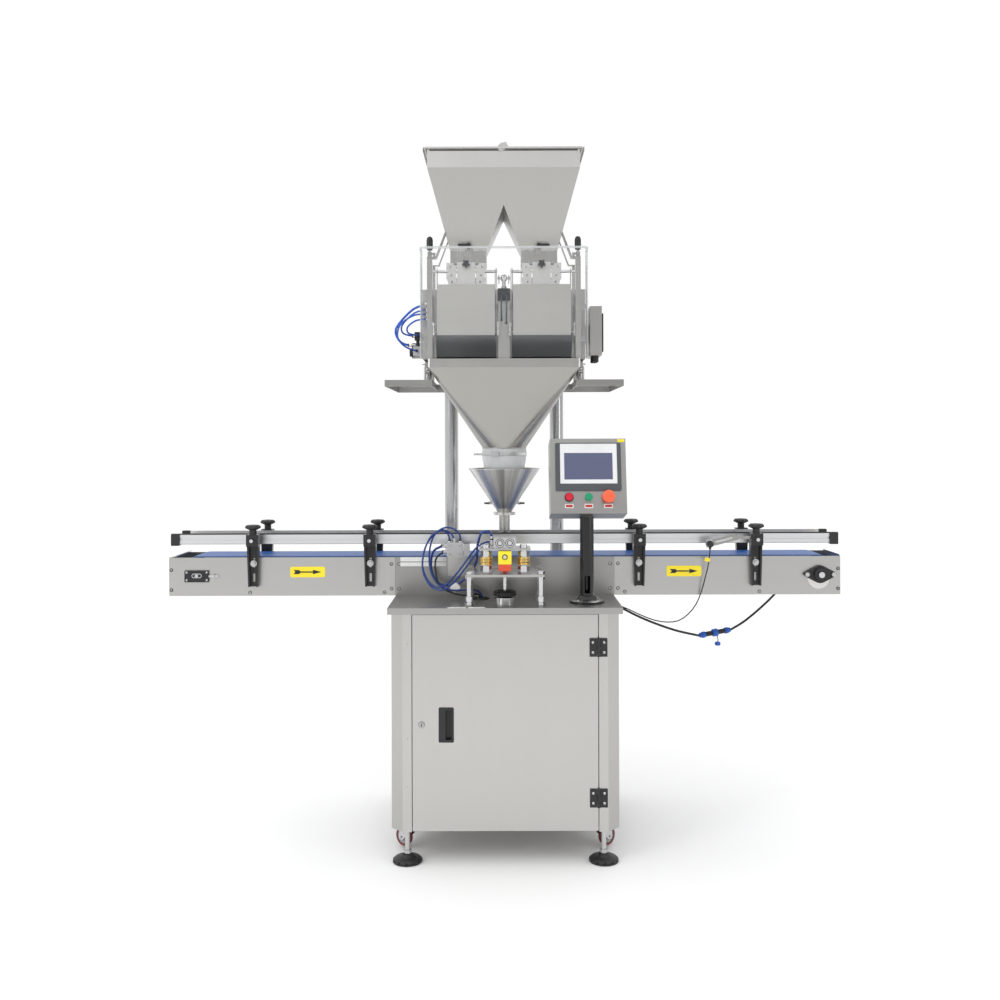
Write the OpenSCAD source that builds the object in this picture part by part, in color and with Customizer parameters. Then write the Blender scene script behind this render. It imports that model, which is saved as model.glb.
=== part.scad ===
// Two-head linear weigher on a column frame, standing over a bottle conveyor and its cabinet.
// Millimetres. +X is the way the belt runs, +Y is away from the operator, +Z is up.
// The origin is on the floor, under the middle of the machine.

/* [Table and cabinet] */
// Width of the table top
table_w = 740; // [720:1:800]
// Depth of the table top
table_d = 700; // [680:1:760]
// Height of the table's working face
table_h = 813; // [790:1:840]
// Thickness of the table sheet
table_t = 3; // [2:0.5:5]
// Height of the folded edge round the table
table_edge = 20; // [14:1:30]
// Thickness of the folded and welded sheet
sheet_t = 2; // [1.5:0.5:3]
// How far the table stands out past the cabinet's sides
side_overhang = 8; // [5:1:16]
// How far the table stands out past the door's face
front_overhang = 12; // [10:1:16]
// Height of the cabinet's bottom above the floor
cabinet_bottom = 107; // [104:1:116]
// Cut across each front corner of the cabinet
corner_cut = 38; // [24:1:46]
// Width of the door
door_w = 584; // [520:1:600]
// Thickness of the door pan
door_t = 18; // [14:1:24]
// Gap round the door
door_gap = 3; // [2:0.5:5]
// Height of one door hinge
hinge_h = 58; // [46:1:70]
// Width of one hinge leaf
hinge_leaf = 28; // [22:1:28]
// Distance of each hinge from the end of the door
hinge_inset = 103; // [80:1:140]
// Width of the recessed pull
pull_w = 48; // [40:1:60]
// Height of the recessed pull
pull_h = 110; // [90:1:130]

/* [Feet and casters] */
// Distance of the feet in from the table's sides
foot_in_x = 58; // [56:1:70]
// Distance of the feet in from the table's front and back
foot_in_y = 50; // [46:1:56]
// Diameter of a foot pad
pad_d = 94; // [80:1:98]
// Diameter of a foot's threaded stem
stem_d = 16; // [12:1:20]
// Distance of the casters in from the table's sides
caster_in_x = 52; // [48:1:60]
// Distance of the casters in from the table's front and back
caster_in_y = 154; // [153:1:180]
// Diameter of a caster wheel
wheel_d = 60; // [50:1:62]
// Width of a caster wheel
wheel_w = 24; // [18:1:28]
// Distance from the swivel to the wheel's axle
caster_trail = 21; // [16:1:22]
// Gap under the wheels when the feet carry the machine
wheel_lift = 8; // [6:1:12]

/* [Conveyor] */
// Length of the conveyor
conveyor_l = 2280; // [2200:5:2400]
// Width over the conveyor's side plates
conveyor_w = 188; // [180:1:200]
// Place of the conveyor's middle, front to back
belt_y = 20; // [10:1:30]
// Height of the side plates
side_h = 130; // [128:1:140]
// Thickness of the side plates
side_t = 3; // [2:0.5:4]
// Length of the middle section
middle_l = 743; // [700:1:800]
// Thickness of the belt
belt_t = 2.5; // [1.5:0.5:3]
// Width of the belt
belt_w = 164; // [150:1:166]
// Radius of the end rollers
roller_r = 61.5; // [58:0.5:62]
// Height of the roller axles above the table
axle_rise = 69; // [68.5:0.5:72]
// Distance of the tail roller's axle from the conveyor's end
tail_inset = 95; // [85:1:110]
// Distance of the drive roller's axle from the conveyor's end
drive_inset = 71; // [69:1:85]
// Radius of the roller shafts
shaft_r = 10; // [8:0.5:12]

/* [Guide rails] */
// Height of a guide rail's profile
rail_h = 32; // [24:1:36]
// Thickness of a guide rail
rail_t = 12; // [10:1:14]
// Gap from the side plates up to the rails
rail_rise = 44; // [40:1:60]
// Width of the bottle lane between the rails
lane_w = 112; // [90:2:118]
// Place of the inner brackets, from the middle
bracket_in_x = 455; // [430:1:520]
// Place of the outer brackets, from the middle
bracket_out_x = 850; // [780:1:900]
// Width of a rail bracket
bracket_w = 41; // [34:1:46]
// Diameter of a clamp knob
knob_d = 52; // [44:1:56]
// Diameter of the rods that carry the rails
rod_d = 12; // [10:1:13]

/* [Columns and shelf] */
// Diameter of a column
column_d = 50; // [40:1:60]
// Distance of the columns from the middle
column_x = 194; // [180:1:210]
// Place of the columns, front to back
column_y = 245; // [235:1:255]
// Width of the shelf
shelf_w = 800; // [760:5:840]
// Front edge of the shelf
shelf_front = -130; // [-136:1:-124]
// Depth of the shelf
shelf_d = 460; // [440:1:470]
// Height of the shelf above the table
shelf_rise = 707; // [697:1:717]
// Height of the shelf's folded edge
shelf_edge = 22; // [18:1:28]

/* [Weigher head] */
// Half width of the drive housing
housing_x = 284; // [278:1:286]
// Depth of the drive housing
housing_d = 290; // [276:1:292]
// Inner side of each weigh bucket, from the middle
bucket_in = 31; // [28:1:34]
// Width of a weigh bucket
bucket_w = 195; // [186:1:198]
// Depth of a weigh bucket
bucket_d = 116; // [108:1:118]
// Front of the weigh buckets
bucket_front = -96; // [-100:1:-92]
// Height of the lowest point of the buckets above the shelf
bucket_rise = 77; // [76:1:80]
// Height of the buckets' doors
flap_h = 76; // [70:1:80]
// Height of the buckets' straight part
bucket_h = 171; // [160:1:172]
// Sheet of the hoppers, pans and buckets
pan_t = 2; // [1.5:0.5:2.5]
// Width of a feeder pan
feeder_w = 136; // [130:1:140]
// Height of the splash guard
guard_h = 400; // [380:1:402]
// Thickness of the splash guard
guard_t = 4; // [3:1:5]
// Front of the splash guard
guard_front = -150; // [-156:1:-146]

/* [Hopper] */
// Width of the hopper at its rim
hopper_w = 516; // [500:1:530]
// Front of the hopper's rim
hopper_front = -100; // [-110:1:-95]
// Depth of the hopper at its rim
hopper_d = 400; // [380:1:410]
// Height of the hopper's rim band
hopper_band = 68; // [56:1:80]
// Height of the slanted part of the hopper
hopper_fall = 270; // [260:1:280]
// Height of the notch between the two chutes, below the slanted part's top
notch_drop = 120; // [110:1:140]
// Outer side of each chute, from the middle
chute_out = 184; // [180:1:190]
// Inner side of each chute, from the middle
chute_in = 60; // [54:1:64]
// Height of the chute necks
neck_h = 40; // [36:1:44]

/* [Funnels] */
// Width of the collecting funnel's rim
funnel_w = 511; // [490:1:515]
// Depth of the collecting funnel's rim
funnel_d = 296; // [284:1:298]
// Height of the collecting funnel's rim band
funnel_band = 29; // [24:1:34]
// Height of the collecting funnel's slanted part
funnel_fall = 270; // [255:1:275]
// Diameter of the collecting funnel's outlet
outlet_d = 152; // [140:1:158]
// Diameter of the filling funnel's mouth
cone_d = 247; // [230:1:255]
// Height of the filling funnel's cone
cone_h = 151; // [140:1:160]
// Diameter of the filling tube
tube_d = 38; // [32:1:42]
// Height of the filling tube's mouth above the table
tube_rise = 199; // [196:1:206]

/* [Control box] */
// Diameter of the control post
post_d = 45; // [38:1:50]
// Place of the control post, from the middle
post_x = 266; // [255:1:280]
// Place of the control post, front to back
post_y = -235; // [-240:1:-225]
// Width and height of the control box
box_w = 242; // [236:1:250]
// Depth of the control box
box_d = 118; // [105:1:125]
// Lean of the control box
box_tilt = 12; // [8:1:14]
// Height of the control box's lower edge above the table
box_rise = 294; // [284:1:305]
// Width of the operator panel
panel_w = 209; // [195:1:212]
// Height of the operator panel
panel_h = 154; // [140:1:156]

/* [Filling station] */
// Width of the station's plate
station_w = 250; // [240:1:262]
// Height of the station's plate above the table
station_rise = 93; // [88:1:100]
// Front of the station's plate
station_front = -322; // [-330:1:-318]
// Depth of the station's plate
station_d = 170; // [160:1:176]
// Diameter of the station's legs
leg_d = 15; // [12:1:18]

/* [Hidden] */

// Gap between pieces that lie against each other and move
seat_gap = 0.3;
// Radial clearance of a shaft in its bore
running_fit = 0.05;

// Colours of the metals and plastics
steel = [0.74, 0.73, 0.71];
bright = [0.82, 0.83, 0.85];
dark_steel = [0.36, 0.36, 0.38];
black = [0.10, 0.10, 0.11];
grey = [0.62, 0.63, 0.62];
blue = [0.12, 0.25, 0.62];
yellow = [0.92, 0.82, 0.10];
brass = [0.78, 0.62, 0.22];

// Cabinet
side_x = table_w / 2 - side_overhang;
face_y = -table_d / 2 + front_overhang;
back_y = table_d / 2 - side_overhang;
under_table = table_h - table_t;
door_low = cabinet_bottom + door_gap;
door_high = table_h - table_edge - door_gap;
door_side = door_w / 2;
hinge_r = 5;
hinge_pin_r = 2.5;
leaf_t = 4;
hinge_x = door_side + door_gap / 2;
hinge_y = face_y - hinge_r - seat_gap;
hinge_places = [door_low + hinge_inset, door_high - hinge_inset];
screw_d = 9;
foot_x = table_w / 2 - foot_in_x;
foot_y = table_d / 2 - foot_in_y;
caster_x = table_w / 2 - caster_in_x;
caster_y = table_d / 2 - caster_in_y;
pull_x = -door_side + 106;
pull_z = (door_low + door_high) / 2 - 6;
lock_x = -door_side + 28;
lock_r = 8;

// Conveyor
end_x = conveyor_l / 2;
front_y = belt_y - conveyor_w / 2;
rear_y = belt_y + conveyor_w / 2;
side_top = table_h + side_h;
axle_z = table_h + axle_rise;
drive_x = end_x - drive_inset;
tail_x = -end_x + tail_inset;
belt_r = roller_r + belt_t;

// Guide rails
rail_z = side_top + rail_rise;
rod_z = rail_z + rail_h / 2;
bracket_xs = [-bracket_out_x, -bracket_in_x, bracket_in_x, bracket_out_x];
bracket_out = 24;
bracket_high = rod_z + 20;

// Tower
shelf_z = table_h + shelf_rise;
column_top = shelf_z + shelf_edge - sheet_t;
shelf_top = shelf_z + shelf_edge;
shelf_back = shelf_front + shelf_d;
housing_y = shelf_back - 12 - housing_d;

// Weigh buckets and feeder pans
bucket_low = shelf_top + bucket_rise;
flap_top = bucket_low + flap_h;
bucket_top = flap_top + bucket_h;
bucket_x = bucket_in + bucket_w / 2;
housing_low = shelf_top + 80;
housing_top = bucket_top;
pan_z = bucket_top + 28;
pan_high = 46;
pan_front = bucket_front + 52;
pan_back = shelf_back - 90;
spring_ys = [housing_y + 34, pan_back - 34];
hanger_x = bucket_in + bucket_w + 18;
shaft_y = bucket_front + 43;
shaft_z = bucket_top + 50;
shaft_d = 10;

// Hopper: the chutes end just over the feeder pans
neck_low = pan_z + pan_high + 10;
neck_top = neck_low + neck_h;
slant_top = neck_top + hopper_fall;
hopper_top = slant_top + hopper_band;
hopper_back = hopper_front + hopper_d;
chute_front = hopper_front + 72;
chute_back = hopper_back - 200;
// Height of the wings, and the hopper's side wall at height z
wing_z = neck_top - 28;
function wall_x(z) = hopper_w / 2 - (slant_top - z) * (hopper_w / 2 - chute_out) / hopper_fall;
clamp_x = hanger_x + 9;
clamp_y = -53;
clamp_z = wing_z + 14;

// Funnels
rim_low = shelf_top + 42;
rim_top = rim_low + funnel_band;
funnel_low = rim_low - funnel_fall;
collar_h = 30;
tube_low = table_h + tube_rise;
flange_z = tube_low + 68;
cone_low = flange_z + 9;
cone_top = cone_low + cone_h;

// Control box: its front lower edge
box_z = table_h + box_rise;
box_front = post_y - 92;

// Station
station_top = table_h + station_rise + 8;
station_low = table_h + station_rise;

// A block given by its two corners on each axis
module block(x, y, z) { translate([x[0], y[0], z[0]]) cube([x[1] - x[0], y[1] - y[0], z[1] - z[0]]); }
// Round bars along each axis
module bar_x(x, y, z, d, fn = 32) {
  translate([x[0], y, z]) rotate([0, 90, 0]) cylinder(h = x[1] - x[0], d = d, $fn = fn);
}
module bar_y(x, y, z, d, fn = 32) {
  translate([x, y[1], z]) rotate([90, 0, 0]) cylinder(h = y[1] - y[0], d = d, $fn = fn);
}
module bar_z(x, y, z, d, fn = 32) {
  translate([x, y, z[0]]) cylinder(h = z[1] - z[0], d = d, $fn = fn);
}
// A profile drawn in X and Z, extruded along Y
module along_y(y, pts) {
  translate([0, y[1], 0]) rotate([90, 0, 0]) linear_extrude(height = y[1] - y[0]) polygon(pts);
}
// A profile drawn in Y and Z, extruded along X
module along_x(x, pts) {
  translate([x[0], 0, 0]) rotate([90, 0, 90]) linear_extrude(height = x[1] - x[0]) polygon(pts);
}
// The corner points of a rounded rectangle
function rounded(w, h, r, n = 4) = [for (q = [0:3], i = [0:n])
  let (a = q * 90 + i * 90 / n, sx = (q == 0 || q == 3) ? 1 : -1, sy = q < 2 ? 1 : -1)
  [sx * (w / 2 - r) + r * cos(a), sy * (h / 2 - r) + r * sin(a)]];
// A rounded plate that faces -Y, with its back face at y
module front_plate(x, y, z, w, h, t, r) {
  translate([x, y, z]) rotate([90, 0, 0]) linear_extrude(height = t) polygon(rounded(w, h, r));
}
// A button-head screw that faces -Y
module front_screw(x, y, z, d = screw_d) {
  translate([x, y, z]) rotate([90, 0, 0]) difference() {
    union() {
      cylinder(h = 1.2, d = d, $fn = 20);
      translate([0, 0, 1.2]) cylinder(h = 1.6, d1 = d, d2 = d * 0.66, $fn = 20);
    }
    translate([0, 0, 1.4]) cylinder(h = 3, d = d * 0.42, $fn = 6);
  }
}
module both_sides() { children(); mirror([1, 0, 0]) children(); }

// Footprint of the cabinet with its wall moved in by t
function footprint(t) = let (c = corner_cut - t * 0.586) [
  [-side_x + t, back_y - t], [-side_x + t, face_y + t + c], [-side_x + t + c, face_y + t],
  [side_x - t - c, face_y + t], [side_x - t, face_y + t + c], [side_x - t, back_y - t]];

module cabinet() {
  opening_x = door_side + door_gap;
  color(steel) {
    difference() {
      translate([0, 0, cabinet_bottom]) linear_extrude(height = under_table - cabinet_bottom)
        polygon(footprint(0));
      translate([0, 0, cabinet_bottom + sheet_t]) linear_extrude(height = under_table)
        polygon(footprint(sheet_t));
      block([-opening_x, opening_x], [face_y - 1, face_y + door_t + 4],
        [cabinet_bottom - 1, door_high + door_gap]);
      for (row = [0:5], side = [-1, 1]) block([side * 150 - 60, side * 150 + 60],
        [back_y - sheet_t - 1, back_y + 1], [560 + row * 22, 566 + row * 22]);
      for (x = [-foot_x, foot_x], y = [-foot_y, foot_y])
        bar_z(x, y, [cabinet_bottom - 1, cabinet_bottom + sheet_t + 1], stem_d + 2 * running_fit);
    }
    // Door stop behind the opening
    difference() {
      block([-opening_x - 14, opening_x + 14], [face_y + door_t + 4, face_y + door_t + 4 + sheet_t],
        [cabinet_bottom + sheet_t, under_table]);
      block([-opening_x + 22, opening_x - 22], [face_y, face_y + door_t + 20],
        [cabinet_bottom + 26, door_high - 18]);
    }
    // Return flanges of the front pillars
    both_sides() block([opening_x, opening_x + sheet_t], [face_y + sheet_t, face_y + door_t + 4],
      [cabinet_bottom + sheet_t, door_high + door_gap]);
    for (x = [-caster_x, caster_x], y = [-caster_y, caster_y])
      block([x - 30, x + 30], [y - 30, y + 30], [cabinet_bottom - 3, cabinet_bottom]);
    // Weld nuts that the feet screw into
    for (x = [-foot_x, foot_x], y = [-foot_y, foot_y]) difference() {
      bar_z(x, y, [cabinet_bottom + sheet_t, cabinet_bottom + sheet_t + 14], stem_d + 14, 6);
      bar_z(x, y, [cabinet_bottom, cabinet_bottom + sheet_t + 15], stem_d + 2 * running_fit);
    }
  }
}

module cabinet_hinges() {
  leaf_x = [hinge_x + hinge_r + seat_gap + 0.4, hinge_x + hinge_leaf];
  color(black) for (z = hinge_places) {
    difference() {
      union() {
        block(leaf_x, [face_y - leaf_t, face_y], [z - hinge_h / 2, z + hinge_h / 2]);
        for (s = [-1, 1]) {
          zs = s < 0 ? [z - hinge_h / 2, z - hinge_h / 6] : [z + hinge_h / 6, z + hinge_h / 2];
          bar_z(hinge_x, hinge_y, zs, 2 * hinge_r);
          block([hinge_x, leaf_x[0] + 1], [face_y - leaf_t, face_y - seat_gap], zs);
        }
      }
      for (s = [-1, 1]) bar_y(hinge_x + hinge_leaf * 0.62, [face_y - 9, face_y + 1],
        z + s * hinge_h * 0.27, 6);
    }
    bar_z(hinge_x, hinge_y, [z - hinge_h / 6 - 4, z + hinge_h / 6 + 4], 2 * hinge_pin_r);
  }
  color(bright) for (z = hinge_places, s = [-1, 1])
    front_screw(hinge_x + hinge_leaf * 0.62, face_y - leaf_t, z + s * hinge_h * 0.27);
}

module door() {
  color(steel) difference() {
    block([-door_side, door_side], [face_y, face_y + door_t], [door_low, door_high]);
    block([-door_side + sheet_t, door_side - sheet_t], [face_y + sheet_t, face_y + door_t + 1],
      [door_low + sheet_t, door_high - sheet_t]);
    block([pull_x - pull_w / 2 + 2, pull_x + pull_w / 2 - 2], [face_y - 1, face_y + 3],
      [pull_z - pull_h / 2 + 2, pull_z + pull_h / 2 - 2]);
    bar_y(lock_x, [face_y - 1, face_y + 3], pull_z, 2 * lock_r + 2 * running_fit);
  }
  // Stiffeners folded across the back of the panel
  color(steel) for (z = [door_low + 150, door_high - 150])
    difference() {
      block([-door_side + 40, door_side - 40], [face_y + sheet_t, face_y + 14], [z - 20, z + 20]);
      block([-door_side + 39, door_side - 39], [face_y + sheet_t - 1, face_y + 12], [z - 18, z + 18]);
    }
}

module door_fittings() {
  color(black) {
    for (z = hinge_places) difference() {
      union() {
        block([hinge_x - hinge_leaf, hinge_x - hinge_r - seat_gap - 0.4],
          [face_y - leaf_t, face_y], [z - hinge_h / 2, z + hinge_h / 2]);
        bar_z(hinge_x, hinge_y, [z - hinge_h / 6 + seat_gap, z + hinge_h / 6 - seat_gap], 2 * hinge_r);
        block([hinge_x - hinge_r - 2, hinge_x], [face_y - leaf_t, face_y - seat_gap],
          [z - hinge_h / 6 + seat_gap, z + hinge_h / 6 - seat_gap]);
      }
      bar_z(hinge_x, hinge_y, [z - hinge_h, z + hinge_h], 2 * (hinge_pin_r + running_fit));
      for (s = [-1, 1]) bar_y(hinge_x - hinge_leaf * 0.62, [face_y - 9, face_y + 1],
        z + s * hinge_h * 0.27, 6);
    }
    // Recessed pull: a rim, a pocket and the lip that fingers hook behind
    difference() {
      union() {
        front_plate(pull_x, face_y, pull_z, pull_w, pull_h, 2.5, 4);
        block([pull_x - pull_w / 2 + 2.5, pull_x + pull_w / 2 - 2.5], [face_y - 0.5, face_y + 15],
          [pull_z - pull_h / 2 + 2.5, pull_z + pull_h / 2 - 2.5]);
      }
      block([pull_x - pull_w / 2 + 7, pull_x + pull_w / 2 - 7], [face_y - 9, face_y + 13],
        [pull_z - pull_h / 2 + 8, pull_z + pull_h / 2 - 8]);
    }
    block([pull_x - pull_w / 2 + 7, pull_x - 2], [face_y - 2.5, face_y + 1],
      [pull_z - pull_h / 2 + 8, pull_z + pull_h / 2 - 8]);
  }
  color(bright) for (z = hinge_places, s = [-1, 1])
    front_screw(hinge_x - hinge_leaf * 0.62, face_y - leaf_t, z + s * hinge_h * 0.27);
}

module door_lock() {
  cam_y = face_y + door_t + 4 + sheet_t + 2;
  color(bright) {
    difference() {
      union() {
        bar_y(lock_x, [face_y - 3, face_y - seat_gap], pull_z, 2 * lock_r + 4);
        bar_y(lock_x, [face_y - seat_gap, face_y + door_t], pull_z, 2 * lock_r);
        bar_y(lock_x, [face_y + door_t, cam_y + 3], pull_z, 12);
      }
      block([lock_x - 1, lock_x + 1], [face_y - 4, face_y - 1], [pull_z - 4, pull_z + 4]);
    }
    block([lock_x - 6, lock_x + 6], [cam_y, cam_y + 3], [pull_z, pull_z + 30]);
  }
}

module table_top() {
  color(steel) difference() {
    block([-table_w / 2, table_w / 2], [-table_d / 2, table_d / 2], [table_h - table_edge, table_h]);
    block([-table_w / 2 + sheet_t, table_w / 2 - sheet_t],
      [-table_d / 2 + sheet_t, table_d / 2 - sheet_t], [table_h - table_edge - 1, table_h - table_t]);
    bar_z(post_x, post_y, [table_h - 20, table_h + 1], post_d - 12);
    bar_z(-78, -150, [table_h - 20, table_h + 1], 44);
  }
}

module electrics() {
  plate_y = back_y - sheet_t - 22;
  color(bright) {
    block([-250, 250], [plate_y, plate_y + 3], [230, 560]);
    for (x = [-220, 220], z = [250, 540]) bar_y(x, [plate_y + 3, back_y - sheet_t], z, 14);
  }
  color(grey) for (z = [290, 400, 510]) block([-220, 220], [plate_y - 8, plate_y], [z - 17, z + 17]);
  // Supply, contactors, drives and controller on their rails
  color(dark_steel) for (i = [0:4]) block([-214 + i * 38, -180 + i * 38], [plate_y - 70, plate_y - 8],
    [470, 550]);
  color(grey) {
    block([0, 96], [plate_y - 110, plate_y - 8], [452, 556]);
    block([106, 206], [plate_y - 92, plate_y - 8], [466, 546]);
    for (i = [0:2]) block([-214 + i * 70, -152 + i * 70], [plate_y - 104, plate_y - 8], [352, 446]);
    block([20, 206], [plate_y - 76, plate_y - 8], [362, 440]);
    for (i = [0:21]) block([-214 + i * 19, -199 + i * 19], [plate_y - 46, plate_y - 8], [270, 312]);
  }
}

// One caster: its fork turned by a about the swivel
module at_caster(right, rear) {
  translate([right ? caster_x : -caster_x, rear ? caster_y : -caster_y, 0])
    rotate([0, 0, (right ? 45 : 135) * (rear ? -1 : 1)]) children();
}
axle_high = wheel_lift + wheel_d / 2;
module caster_fork() {
  cheek = wheel_w / 2 + 1.6;
  plate_low = cabinet_bottom - 3;
  color(bright) {
    difference() {
      union() {
        // Cheeks, bridge and the swivel head
        for (s = [-1, 1]) translate([0, s * (cheek + 1.25) + 1.25, 0]) rotate([90, 0, 0])
          linear_extrude(height = 2.5) polygon([[-16, plate_low - 10], [16, plate_low - 10],
            [caster_trail + 11, axle_high + 2], [caster_trail + 8, axle_high - 9],
            [caster_trail - 8, axle_high - 9], [-12, axle_high + 14]]);
        block([-16, 20], [-cheek - 2.5, cheek + 2.5], [plate_low - 13, plate_low - 10]);
        bar_z(0, 0, [plate_low - 10, plate_low - seat_gap], 42);
      }
      bar_y(caster_trail, [-40, 40], axle_high, 8);
    }
    bar_y(caster_trail, [-cheek - 6, cheek + 6], axle_high, 8 - 2 * running_fit);
    // Brake pedal
    along_y([-11, 11], [[20, plate_low - 12], [20, plate_low - 15], [44, plate_low - 20],
      [56, plate_low - 34], [59, plate_low - 33], [46, plate_low - 17]]);
  }
}
module caster_wheel() {
  translate([caster_trail, 0, axle_high]) rotate([90, 0, 0]) {
    color([0.34, 0.13, 0.12]) rotate_extrude($fn = 40) polygon([[wheel_d * 0.36, -wheel_w * 0.42],
      [wheel_d / 2 - 2, -wheel_w / 2], [wheel_d / 2, -wheel_w / 2 + 3], [wheel_d / 2, wheel_w / 2 - 3],
      [wheel_d / 2 - 2, wheel_w / 2], [wheel_d * 0.36, wheel_w * 0.42]]);
    color(grey) rotate_extrude($fn = 40) polygon([[4, -wheel_w / 2 - 1], [10, -wheel_w / 2 - 1],
      [12, -wheel_w * 0.28], [wheel_d * 0.36, -wheel_w * 0.36], [wheel_d * 0.36, wheel_w * 0.36],
      [12, wheel_w * 0.28], [10, wheel_w / 2 + 1], [4, wheel_w / 2 + 1]]);
  }
}
// A levelling foot: ribbed pad, stem and lock nut
module foot(x, y) {
  pad_h = 26;
  color(black) translate([x, y, 0]) difference() {
    rotate_extrude($fn = 48) polygon([[0, 0], [pad_d / 2 - 2, 0], [pad_d / 2, 2], [pad_d / 2, 9],
      [pad_d / 2 - 6, 14], [24, 18], [16, pad_h], [0, pad_h]]);
    for (a = [0:30:359]) rotate([0, 0, a]) translate([pad_d / 2 + 1, 0, 5])
      cylinder(h = 30, d = 9, $fn = 16);
  }
  color(bright) translate([x, y, 0]) {
    translate([0, 0, pad_h]) cylinder(h = cabinet_bottom + 20 - pad_h, d = stem_d, $fn = 32);
    difference() {
      translate([0, 0, pad_h + 3]) cylinder(h = 10, d = stem_d + 11, $fn = 6);
      translate([0, 0, pad_h]) cylinder(h = 20, d = stem_d, $fn = 32);
    }
  }
}

module conveyor_frame() {
  section_x = [[-end_x, -middle_l / 2 - 0.5], [-middle_l / 2, middle_l / 2], [middle_l / 2 + 0.5, end_x]];
  lip = 14;
  bed_z = axle_z + roller_r;
  color(steel) difference() {
    union() {
      for (s = section_x, rear = [false, true]) {
        y0 = rear ? rear_y : front_y;
        in = rear ? -1 : 1;
        // Side plate with its lower lip folded in
        block(s, rear ? [y0 - side_t, y0] : [y0, y0 + side_t], [table_h, side_top]);
        block(s, rear ? [y0 - lip, y0 - side_t] : [y0 + side_t, y0 + lip], [table_h, table_h + side_t]);
      }
    }
    for (y = [front_y, rear_y - side_t]) {
      bar_y(drive_x, [y - 1, y + side_t + 1], axle_z, 34);
      translate([tail_x, y - 1, axle_z]) rotate([-90, 0, 0]) linear_extrude(height = side_t + 2)
        polygon(rounded(56, 2 * shaft_r + 4, shaft_r));
    }
  }
  // Bed that the belt slides on, between the rollers, and its cross members
  color(bright) block([tail_x + 24, drive_x - 24], [front_y + side_t, rear_y - side_t],
    [bed_z - 2, bed_z]);
  color(steel) for (x = [-780, -420, -120, 120, 420, 780]) difference() {
    block([x - 15, x + 15], [front_y + side_t, rear_y - side_t], [axle_z - 15, axle_z + 15]);
    block([x - 13, x + 13], [front_y, rear_y], [axle_z - 13, axle_z + 13]);
  }
  // End plates with a sloping nose that cover the rollers
  color(steel) for (s = [-1, 1]) mirror([s < 0 ? 1 : 0, 0, 0]) {
    cover_in = end_x - max((s < 0 ? tail_inset : drive_inset) - belt_r - 6, 3);
    along_y([front_y + side_t, rear_y - side_t], [[end_x - 2, table_h + side_t],
      [end_x, table_h + side_t], [end_x, side_top], [cover_in, side_top + 6],
      [cover_in, side_top + 4], [end_x - 2, side_top - 2]]);
  }
  color(bright) {
    for (s = [-1, 1], dx = [-13, 13], z = [table_h + 23, side_top - 23])
      front_screw(s * middle_l / 2 + dx, front_y, z);
    for (x = [-865, -408, 408, 865]) front_screw(x, front_y, table_h + 11);
    for (s = [-1, 1], z = [table_h + 20, side_top - 42]) front_screw(s * (end_x - 8), front_y, z, 7);
  }
}

module conveyor_belt() {
  color(blue) difference() {
    along_y([belt_y - belt_w / 2, belt_y + belt_w / 2], belt_loop(belt_r));
    along_y([belt_y - belt_w, belt_y + belt_w], belt_loop(roller_r + seat_gap));
  }
}
// A loop of radius r round the two rollers
function belt_loop(r) = concat(
  [for (a = [90:-7.5:-90]) [drive_x + r * cos(a), axle_z + r * sin(a)]],
  [for (a = [-90:-7.5:-270]) [tail_x + r * cos(a), axle_z + r * sin(a)]]);

// A lagged roller on its shaft; the shaft reaches y0 to y1
module roller(x, y0, y1) {
  color(dark_steel) bar_y(x, [belt_y - belt_w / 2, belt_y + belt_w / 2], axle_z, 2 * roller_r, 64);
  color(bright) bar_y(x, [y0, y1], axle_z, 2 * shaft_r);
}
module drive_roller() { roller(drive_x, front_y - 30, rear_y + 70); }
module tail_roller() { roller(tail_x, front_y - 4, rear_y + 4); }

// Two-bolt flange bearing that faces -Y
module flange_bearing(x, y, z) {
  ear = 45;
  translate([x, y, z]) rotate([90, 0, 0]) {
    color(black) difference() {
      union() {
        linear_extrude(height = 10) polygon([for (a = [0:10:350])
          let (c = cos(a)) [c * (30 + 26 * pow(abs(c), 3)), sin(a) * (30 - 8 * pow(abs(c), 3))]]);
        cylinder(h = 22, d1 = 50, d2 = 42, $fn = 40);
      }
      translate([0, 0, -1]) cylinder(h = 30, r = shaft_r + running_fit, $fn = 40);
      for (s = [-1, 1]) translate([s * ear, 0, -1]) cylinder(h = 20, d = 11, $fn = 24);
    }
    color(bright) for (s = [-1, 1]) translate([s * ear, 0, 0]) {
      cylinder(h = 14, d = 11, $fn = 24);
      translate([0, 0, 10]) cylinder(h = 7, d = 16, $fn = 6);
    }
  }
}
module shaft_bearings() {
  flange_bearing(drive_x, front_y, axle_z);
  // Take-up plates that hold the tail roller's shaft, with their adjusting screws
  for (rear = [false, true]) translate([0, rear ? rear_y : front_y, 0])
    mirror([0, rear ? 1 : 0, 0]) {
      color(black) difference() {
        front_plate(tail_x, 0, axle_z - 2, 83, 40, 5, 3);
        bar_y(tail_x, [-7, 1], axle_z, 2 * shaft_r + 2 * running_fit);
        for (sx = [-1, 1], sz = [-1, 1])
          bar_y(tail_x + sx * 34, [-7, 1], axle_z - 2 + sz * 13, 5);
      }
      color(bright) {
        for (sx = [-1, 1], sz = [-1, 1]) front_screw(tail_x + sx * 34, -5, axle_z - 2 + sz * 13, 8);
        bar_x([tail_x + 41.5, tail_x + 74], -4, axle_z - 2, 8);
        block([tail_x + 56, tail_x + 62], [-10, 0], [axle_z - 9, axle_z + 5]);
      }
    }
}

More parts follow.
